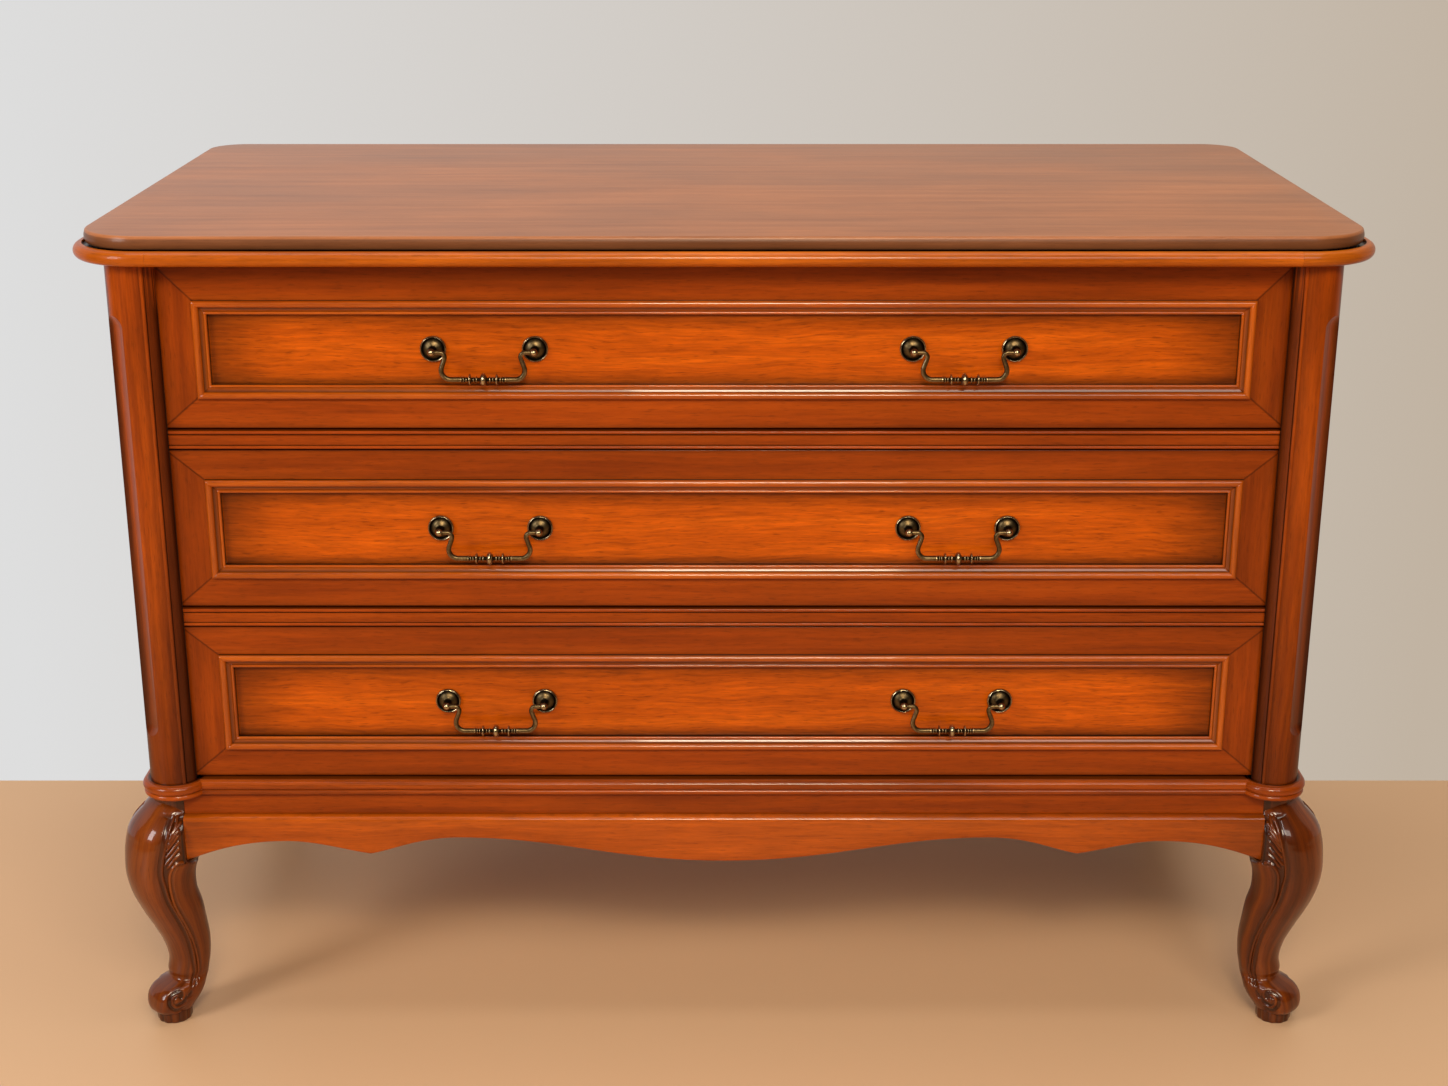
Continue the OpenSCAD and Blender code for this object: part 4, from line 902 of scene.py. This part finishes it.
# the legs, each with its pad and the block above its knee
legSize = {"cornerBack": 31, "blockOut": 8, "blockRound": 35, "inset": 33, "topInset": 26, "topHalf": 29,
           "knee": 39, "ankle": 21, "foot": 27, "footFlat": 0.84, "shoulder": 222, "shoulderTop": 236.5,
           "cornerRise": 10, "apronEnd": 50, "ease": 0.9}
padSize = {"radius": 17.4, "inset": 2.2, "lobes": 12, "scallop": 0.022}
# the pad's outline: (height, share of its radius)
padLine = np.array([(0, 0), (0, 0.93), (0.5, 0.96), (1.4, 0.985), (4, 1), (8, 1.01), (11, 1.005),
                    (13, 0.99), (14.5, 0.96)])


def legStations():
    # down a leg: height, distance of the section's middle inside the corner, half width along the diagonal,
    # how flat it is across, and its squareness, 2 for an ellipse and more for a fuller shape
    s, h = legSize, standH / mm
    knee, ankle, foot, flat = s["knee"], s["ankle"], s["foot"], s["footFlat"]
    return np.array([
        [bandTop / mm, s["topInset"], s["topHalf"], 1, 2],
        [0.95 * h, 14.5, 1.03 * knee, 1, 2.1], [0.88 * h, 9, 1.02 * knee, 1, 2.2],
        [0.80 * h, 4.8, 0.98 * knee, 1, 2.05], [0.72 * h, 1.7, 0.885 * knee, 1, 2.05],
        [0.63 * h, 3, 0.81 * knee, 1, 2.15], [0.54 * h, 8, 0.77 * knee, 1, 2.1],
        [0.45 * h, 13, 1.28 * ankle, 1, 2], [0.36 * h, 17.3, 1.13 * ankle, 1, 2],
        [0.28 * h, 18.6, 1.02 * ankle, 1, 2], [0.225 * h, 17, ankle, 0.97, 2.1],
        [0.19 * h, 16, 0.97 * ankle, 0.92, 2.3], [0.165 * h, 9, 0.95 * foot, 0.88, 2.6],
        [0.135 * h, 5.5, foot, flat, 3.0], [0.10 * h, 2.8, 0.95 * foot, flat, 3.0],
        [0.07 * h, 1.1, 0.84 * foot, flat, 2.9], [0.05 * h, 1.9, 0.73 * foot, flat, 2.6]])


def throughStations(s, u):
    # a smooth curve through rows of numbers (Catmull-Rom), at places u counted in rows
    n = len(s) - 1
    i = np.minimum(np.floor(u).astype(int), n - 1)
    t = (u - i)[:, None]
    a, b, c, d = s[np.maximum(i - 1, 0)], s[i], s[i + 1], s[np.minimum(i + 2, n)]
    return 0.5 * (2 * b + (c - a) * t + (2 * a - 5 * b + 4 * c - d) * t ** 2
                  + (3 * b - a - 3 * c + d) * t ** 3)


# The carving is drawn on a leg's flank in millimetres: u is the distance outwards along the diagonal
# from the case's corner, z the height. Both flanks carry the same lines.
outerBead = [(1.6, 238.8), (-0.4, 238.2), (-0.7, 235.6), (1.7, 230.6), (5.5, 222.8), (8.9, 214.8),
             (11.5, 205.5), (13.8, 195.8), (15, 186), (14.9, 177.5), (12.7, 166.5), (10.1, 155),
             (6.8, 144), (1.6, 131.5), (-4.4, 118), (-10, 105), (-14.4, 92), (-17.6, 79), (-19.5, 66),
             (-19.9, 54), (-18.4, 45), (-14.8, 40), (-11.1, 35.4), (-8.2, 32.1)]
innerBead = [(-6.4, 189), (-2.2, 190.2), (2.5, 188.3), (6.1, 183), (7.8, 176.1), (7.3, 165.1),
             (5.5, 153.8), (2.6, 142), (-2.4, 129.5), (-8.2, 116.5), (-13.8, 103), (-18.2, 90),
             (-21.4, 77), (-23.4, 64), (-23.4, 51), (-20.6, 41.6), (-17.9, 34.4), (-15, 29.2),
             (-10.9, 25.5), (-5.7, 22.1), (1.5, 20), (6.4, 21.1), (9.5, 25.3), (10.5, 29.4), (9.7, 32.4),
             (7.6, 34.6), (4.8, 35.3)]
footRim = [(-27.4, 31.7), (-21.1, 24.8), (-14.7, 19.3), (-8.4, 15), (-1, 12.8), (6.5, 13.4), (13, 19.1),
           (16.3, 25.3), (16.1, 31.2), (14.6, 35.1), (11.1, 38.6), (5.6, 41.1), (1.1, 41.6), (-2.2, 39.7),
           (-3.5, 35.6), (-3.1, 31.4), (-0.7, 28.4), (3.2, 27.6)]
scroll = {"middle": (5.4, 28.6), "reachU": 12, "reachZ": 15.5, "boss": 4.2}
# strands of the leaf: where each starts beside the apron, its middle and its end beside the first bead
leafStrands = [[(-4.0, 237.5), (-2.4, 230.4), (2.4, 222.8)], [(-6.4, 231.8), (0.1, 224.7), (6.4, 217)],
               [(-4, 225.6), (2, 218.8), (8.8, 210.6)], [(-3, 220.4), (1.4, 215.4), (9.4, 206.2)],
               [(-2.8, 213.5), (2.2, 208.4), (10.4, 199.5)], [(-2.6, 206.5), (3, 201.2), (11.4, 191.5)],
               [(-3.2, 199.5), (3.6, 194.8), (11.6, 184)]]


def lineDistance(u, z, points, count):
    # distance from each place to the smooth curve through points, and the side it lies on, -1 outwards
    line = throughStations(np.array(points, float), np.linspace(0, len(points) - 1, count))
    best = np.full(u.shape, 1e9)
    side = np.ones(u.shape)
    for (u0, z0), (u1, z1) in zip(line[:-1], line[1:]):
        du, dz = u1 - u0, z1 - z0
        t = np.clip(((u - u0) * du + (z - z0) * dz) / (du * du + dz * dz + 1e-9), 0, 1)
        away = np.hypot(u - u0 - t * du, z - z0 - t * dz)
        side = np.where(away < best, np.sign((u - u0) * dz - (z - z0) * du), side)
        best = np.minimum(best, away)
    return best, side


def ridge(distance, width):
    # a rounded ridge, 1 on its line and 0 at width beside it
    t = np.clip(distance / width, 0, 1)
    return np.sqrt(np.maximum(1 - t ** 2, 0))


def carving(u, z):
    # height of the carving in millimetres and its tone, over one flank; the tone paints shade into the sunk
    # parts
    first, side1 = lineDistance(u, z, outerBead, 120)
    second, side2 = lineDistance(u, z, innerBead, 130)
    rim, sideRim = lineDistance(u, z, footRim, 90)
    top = 1 - smoothStep(236, 240.5, z)
    # outside the first bead the knee sinks softly towards it, and ends in a narrow line at its foot
    outside = (side1 < 0) * top * smoothStep(30, 46, z)
    reach = 5 + 8 * smoothStep(110, 190, z)
    dip = outside * (1 - smoothStep(0, 1, first / reach)) ** 1.5
    line = outside * ridge(np.abs(first - 2.2), 1.5)
    # the sunk ground between the beads, and under the leaf
    start = np.where(side1 > 0, 1, 1 - smoothStep(0.4, 1.6, first))
    stop = np.where(z > 189, 1, 1 - smoothStep(0.8, 2.4, second * side2))
    ground = start * stop * top * smoothStep(34, 44, z)
    leaf = np.max([ridge(lineDistance(u, z, strand, 12)[0], 1.5) for strand in leafStrands], axis=0)
    leaf *= smoothStep(0.4, 2.0, first * side1) * smoothStep(184, 190, z) * top
    raised = np.maximum(np.maximum(ridge(first, 1.7) * top, ridge(second, 1.9)), 0.9 * leaf)
    # inside the second bead the leg lies a little lower
    inner = (side2 > 0) * (z < 190) * smoothStep(40, 60, z)
    edge = inner * ridge(np.abs(second - 2.2), 1.6)
    height = 0.35 * np.maximum(ridge(first, 1.7), ridge(second, 1.9)) * smoothStep(40, 60, z) * top
    height += -1.0 * dip - 0.8 * line - 2.0 * ground * (1 - raised) - 0.7 * edge
    tone = (1 - 0.30 * dip) * (1 - 0.45 * line) * (1 - 0.62 * ground * (1 - raised) ** 0.8)
    tone *= 1 - 0.35 * edge
    # the scroll: its rim and the second bead wind in to a boss, on a hollow ground
    middle = scroll["middle"]
    r = np.hypot((u - middle[0]) / scroll["reachU"], (z - middle[1]) / scroll["reachZ"])
    hollow = (1 - smoothStep(0.86, 1.0, r)) * (z < 60)
    boss = ridge(np.hypot(u - middle[0], z - middle[1]), scroll["boss"])
    relief = np.maximum(np.maximum(ridge(rim, 1.7), ridge(second, 1.7)), boss)
    height -= 1.7 * hollow * (1 - relief)
    tone *= 1 - 0.68 * hollow * (1 - relief) ** 0.8
    # a groove round the outside of the scroll on the toe's side, and the sunk corner where the beads close
    # in, both with painted shade
    toeSide = (sideRim < 0) * (1 - hollow) * smoothStep(-6, 0, u) * (z < 56)
    groove = toeSide * ridge(np.abs(rim - 2.2), 1.8)
    corner = ridge(np.hypot(u + 7.5, z - 33), 6) * (side1 > 0) * (1 - relief) * (1 - hollow)
    height -= 1.3 * groove + 1.5 * corner
    tone *= (1 - 0.55 * groove) * (1 - 0.65 * corner)
    return height, tone


def shoulder(aa, zz, points, rise):
    # over the knee the leg turns in, in a quarter round, to the block above it:
    # point = section + (block - section) * (1 - sqrt(1 - t^2)), t from 0 at the shoulder to 1 at its top
    s = legSize
    size = np.abs(aa)
    turn = np.radians(np.minimum(size, 45)) * np.sign(aa)
    r = s["blockRound"] - 0.6
    past = np.maximum(size - 45, 0) * 0.5
    middle = s["blockRound"] - s["blockOut"]
    blockX = -middle + r * (np.cos(turn) + np.sin(turn)) / math.sqrt(2) - past * (aa < 0)
    blockY = middle - r * (np.cos(turn) - np.sin(turn)) / math.sqrt(2) + past * (aa > 0)
    top = s["shoulderTop"] + rise * (1 - smoothStep(20, 80, size))
    t = np.clip((zz - s["shoulder"]) / (top - s["shoulder"]), 0, 1)
    share = (1 - np.sqrt(1 - t ** 2))[..., None]
    return points + (np.stack([blockX, blockY, zz], -1) - points) * share


def leg(where, hand, sideX, sideY):
    s = legSize
    frontCorner = frontY + s["cornerBack"] * mm
    rearCorner = box["apron_right"][0][1] + box["apron_right"][1][1] - frontCorner
    stations = legStations()
    dense = throughStations(stations, np.linspace(0, len(stations) - 1, 3000))[::-1]
    low, high = dense[0, 0], bandTop / mm - 1 if sideY < 0 else standH / mm + 1
    # rows lie closest in the scroll, and columns on the flanks, which are carved
    heights = spread(low, [(56, 110), (178, 84), (high, 104)])
    rows = np.column_stack([np.interp(heights, dense[:, 0], dense[:, k]) for k in range(5)])
    half = spread(0, [(24, 12), (118, 130), (180, 16)])
    aa, zz = np.meshgrid(np.concatenate([-half[:0:-1], half]), rows[:, 0])
    inset, wide, flat, power = [rows[:, k:k + 1] for k in (1, 2, 3, 4)]
    cosine, sine = np.cos(np.radians(aa)), np.sin(np.radians(aa))
    along = wide * np.sign(cosine) * np.abs(cosine) ** (2 / power)
    across = wide * flat * np.sign(sine) * np.abs(sine) ** (2 / power)
    root = math.sqrt(2)
    base = gridOf(-inset + (along + across) / root, inset - (along - across) / root, zz)
    base = shoulder(aa, zz, base, s["cornerRise"] if sideY < 0 else 1)
    height, tone = carving(along - inset * root, zz)
    onFlank = smoothStep(22, 32, np.abs(aa)) * (1 - smoothStep(128, 150, np.abs(aa)))
    normal = np.cross(np.gradient(base, axis=1), np.gradient(base, axis=0))
    normal /= np.maximum(np.linalg.norm(normal, axis=2), 1e-9)[..., None]
    normal *= np.sign(np.sum(normal * (base - gridOf(-inset, inset, zz)), 2).mean())
    points = base + normal * (height * onFlank)[..., None]
    # beside the aprons and the band the leg ends flat
    beside = zz > standH / mm - s["apronEnd"]
    points[..., 0] = np.where(beside, np.maximum(points[..., 0], -s["inset"]), points[..., 0])
    points[..., 1] = np.where(beside, np.minimum(points[..., 1], s["inset"]), points[..., 1])
    mirror = np.array([sideX, -sideY, 1])
    origin = np.array([sideX * caseX, frontCorner if sideY < 0 else rearCorner, 0])
    # grain runs down the leg
    run = lengthAlong(np.column_stack([rows[:, 1], rows[:, 0]]))
    uv = gridOf(run[:, None] * mm + 0.7 * sideX + 1.9 * sideY, np.radians(aa) * 30 * mm + 0.4 * sideY)
    # painted shade: dark in the corners against the aprons and towards the inside of the leg
    tone = 1 - (1 - tone) * onFlank
    joint = np.minimum(np.abs(base[..., 0] + s["inset"]), np.abs(base[..., 1] - s["inset"]))
    tone = tone * (1 - 0.7 * beside * (1 - smoothStep(0.2, 1.2, joint)))
    tone = tone * (1 - 0.35 * smoothStep(100, 135, np.abs(aa)))
    points = points * mirror * mm + origin
    # painted shade on the caps at the leg's ends
    patches = [patch(points, uv, np.clip(tone, 0, 1))] + endCaps(points, uv, 0.5) + pad(mirror, origin)
    if sideY < 0:
        patches += cornerBlock(mirror, origin)
    makePiece("leg" + where + hand.capitalize(), patches, wood["leg"], ["leg_" + where.lower() + "_" + hand],
              sharp=70, merge=0.00001)


def pad(mirror, origin):
    # the round pad under the foot: a turned outline, wider above, with shallow scallops round it
    s, line = padSize, padLine
    turn = np.linspace(0, 2 * math.pi, 12 * s["lobes"] + 1)[:, None]
    lobe = np.abs(np.sin(s["lobes"] * turn / 2))
    radius = s["radius"] * line[:, 1] * (1 - s["scallop"] + 2 * s["scallop"] * lobe)
    points = gridOf(-s["inset"] + radius * np.cos(turn), s["inset"] + radius * np.sin(turn), line[:, 0])
    uv = gridOf(points[..., 2] * mm, turn * s["radius"] * mm)
    # painted shade: darker in the hollows of the scallops, towards the top under the foot, and on the cap
    # above
    tone = (0.45 + 0.55 * lobe ** 0.4) * (0.75 - 0.35 * smoothStep(10, 14, line[:, 0]))
    points = points * mirror * mm + origin
    return [patch(points, uv, tone), capPatch(points[:-1, -1], uv[:-1, -1], 0.5)]


def cornerBlock(mirror, origin):
    # the block that turns the band round the corner, over the knee, with its lower edge eased
    r, out, inset, ease = (legSize[k] for k in ("blockRound", "blockOut", "inset", "ease"))
    low, high = standH / mm, bandTop / mm
    rings = []
    for back, z in ((3.0, low), (ease, low), (0.25, low + 0.25), (0, low + ease), (0, high)):
        ring = np.vstack([[(0.2 - inset, back - out)], arc(out - r, r - out, r - back, -90, 0, 26),
                          [(out - back, inset)], [(0.2 - inset, inset)], [(0.2 - inset, back - out)]])
        rings.append(np.column_stack([ring, np.full(len(ring), z)]))
    points = np.stack(rings)
    uv = gridOf(lengthAlong(points[-1]) * mm + 3.1, points[..., 2] * mm)
    # painted shade: dark underneath and on the faces that close it at top and bottom, a little darker at the
    # top of its side, and darker at its inner end
    tone = np.outer((0.1, 0.5, 0.9, 0.95, 0.8), np.ones(points.shape[1]))
    tone[:, [0, 1, -1]] *= 0.45
    points = points * mirror * mm + origin
    return [patch(points, uv, tone)] + endCaps(points, uv, 0.1)


for hand, side in hands:
    leg("Front", hand, side, -1)
    leg("Rear", hand, side, 1)
print("legs made")


# inner and hidden wood: the solids stay and only get a material

def dress(names, material):
    for name in names:
        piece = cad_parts[name]
        piece.data.materials.clear()
        piece.data.materials.append(material)


dress(["side_panel_left", "side_panel_right", "rear_post_left", "rear_post_right"], sideWood)
dress(["apron_rear", "rear_rail"], railWood)
dress(["back_panel", "sub_top", "bottom_board"], paleAcross)
dress(["runners_left", "runners_right"], paleDeep)
for level in levels:
    dress([level + "_drawer_back", level + "_drawer_bottom"], paleAcross)
    dress([level + "_drawer_side_left", level + "_drawer_side_right"], paleDeep)


# the camera, the wall and the floor, and the light of the room
view = {"focal": 2147, "width": 1448, "sensor": 36, "pitch": 18.4, "distance": 1.946, "eye": 1.180}
# the wall glows with painted light, lighter on the left than on the right with a fade between; its gap behind
# the chest and its height
wallLook = {"left": (222, 222, 222), "right": (193, 179, 162), "fadeHalf": 0.9, "gap": 0.008, "height": 4}
floorLook = {"colour": (208, 166, 126), "rough": 0.5, "reach": 6}
roomLook = {"colour": (226, 224, 220), "seen": 0.9, "light": 0.20, "mirrored": 0.05}
# where each lamp stands, what it shines at, its width and height, its power and its colour
lamps = {"window": ((-2.7, -2.3, 1.9), (0, -0.25, 0.5), (1.0, 1.6), 65, (1, 1, 1)),
         "front": ((0.7, -3.5, 2.9), (0, -0.2, 0.4), (2.8, 1.4), 82, (1, 0.95, 0.86)),
         "centre": ((0.12, -3.4, 2.8), (0, -0.2, 0.4), (0.7, 0.5), 43, (1, 0.86, 0.64)),
         "gleam": ((0.12, -3.4, 2.8), (0, -0.2, 0.4), (0.75, 1.3), 50, (1, 0.74, 0.42)),
         "ceiling": ((0, 0.1, 3.2), (0, 0, 0.4), (3.0, 2.0), 60, (1, 1, 1))}


def floorMaterial(look):
    material, _, shader = newMaterial("paleFloor")
    plug(shader, {"Base Color": linear(look["colour"]), "Roughness": look["rough"]})
    return material


def wallMaterial(look):
    # seen from in front only, by the camera and in reflections, and clear for every other ray
    material, tree, shader = newMaterial("paleWall", "MixShader")
    rays, place = add(tree, "LightPath").outputs, add(tree, "TexCoord").outputs["Object"]
    # painted light: the wall glows by itself, lighter on the left than on the right, as if a window lit it
    # from the left
    across = add(tree, "MapRange", {"Value": add(tree, "SeparateXYZ", {0: place}).outputs["X"],
                                    "From Min": -look["fadeHalf"], "From Max": look["fadeHalf"]})
    colour = mixColour(tree, "MIX", across.outputs[0], linear(look["left"]), linear(look["right"]))
    facing = maths(tree, "SUBTRACT", 1.0, add(tree, "NewGeometry").outputs["Backfacing"])
    seen = maths(tree, "MAXIMUM", rays["Is Camera Ray"], rays["Is Glossy Ray"])
    plug(shader, {0: maths(tree, "MULTIPLY", seen, facing), 1: add(tree, "BsdfTransparent").outputs[0],
                  2: add(tree, "Emission", {"Color": colour}).outputs[0]})
    return material


def stagePlane(name, corners, material):
    mesh = bpy.data.meshes.new(name)
    mesh.from_pydata(corners, [], [(0, 1, 2, 3)])
    plane = bpy.data.objects.new(name, mesh)
    bpy.context.scene.collection.objects.link(plane)
    mesh.materials.append(material)


def areaLight(name, place, target, size, power, colour):
    data = bpy.data.lights.new(name, "AREA")
    data.shape = "RECTANGLE"
    data.size, data.size_y = size
    data.energy = power
    data.color = colour
    light = bpy.data.objects.new(name, data)
    bpy.context.scene.collection.objects.link(light)
    light.location = place
    light.rotation_euler = (Vector(target) - Vector(place)).to_track_quat("-Z", "Y").to_euler()
    # the gleam is only for the highlights on the lacquer
    light.visible_diffuse = name != "gleam"


def roomLight(look):
    # a pale surround for the camera, a dimmer one that lights the chest, and the dimmest in reflections
    world = bpy.data.worlds.new("room")
    bpy.context.scene.world = world
    world.use_nodes = True
    tree = world.node_tree
    rays = add(tree, "LightPath").outputs
    strength = maths(tree, "MULTIPLY_ADD", rays["Is Camera Ray"], look["seen"] - look["light"], look["light"])
    dimmer = maths(tree, "MULTIPLY", rays["Is Glossy Ray"], look["light"] - look["mirrored"])
    plug(tree.nodes["Background"], {0: linear(look["colour"]), 1: maths(tree, "SUBTRACT", strength, dimmer)})


far, wallTop, wallY = floorLook["reach"], wallLook["height"], rearY + wallLook["gap"]
stagePlane("floor", [(-far, -far, 0), (far, -far, 0), (far, far, 0), (-far, far, 0)],
           floorMaterial(floorLook))
stagePlane("wall", [(-far, wallY, 0), (far, wallY, 0), (far, wallY, wallTop), (-far, wallY, wallTop)],
           wallMaterial(wallLook))
roomLight(roomLook)
for name, lamp in lamps.items():
    areaLight(name, *lamp)

scene = bpy.context.scene
scene.view_settings.view_transform = "Standard"
cameraData = bpy.data.cameras.new("camera")
cameraData.sensor_width = view["sensor"]
cameraData.lens = view["focal"] / view["width"] * view["sensor"]
camera = bpy.data.objects.new("camera", cameraData)
scene.collection.objects.link(camera)
camera.location = (0.0, frontY - view["distance"], view["eye"])
camera.rotation_euler = (math.radians(90 - view["pitch"]), 0, 0)
scene.camera = camera
print("stage and camera set")
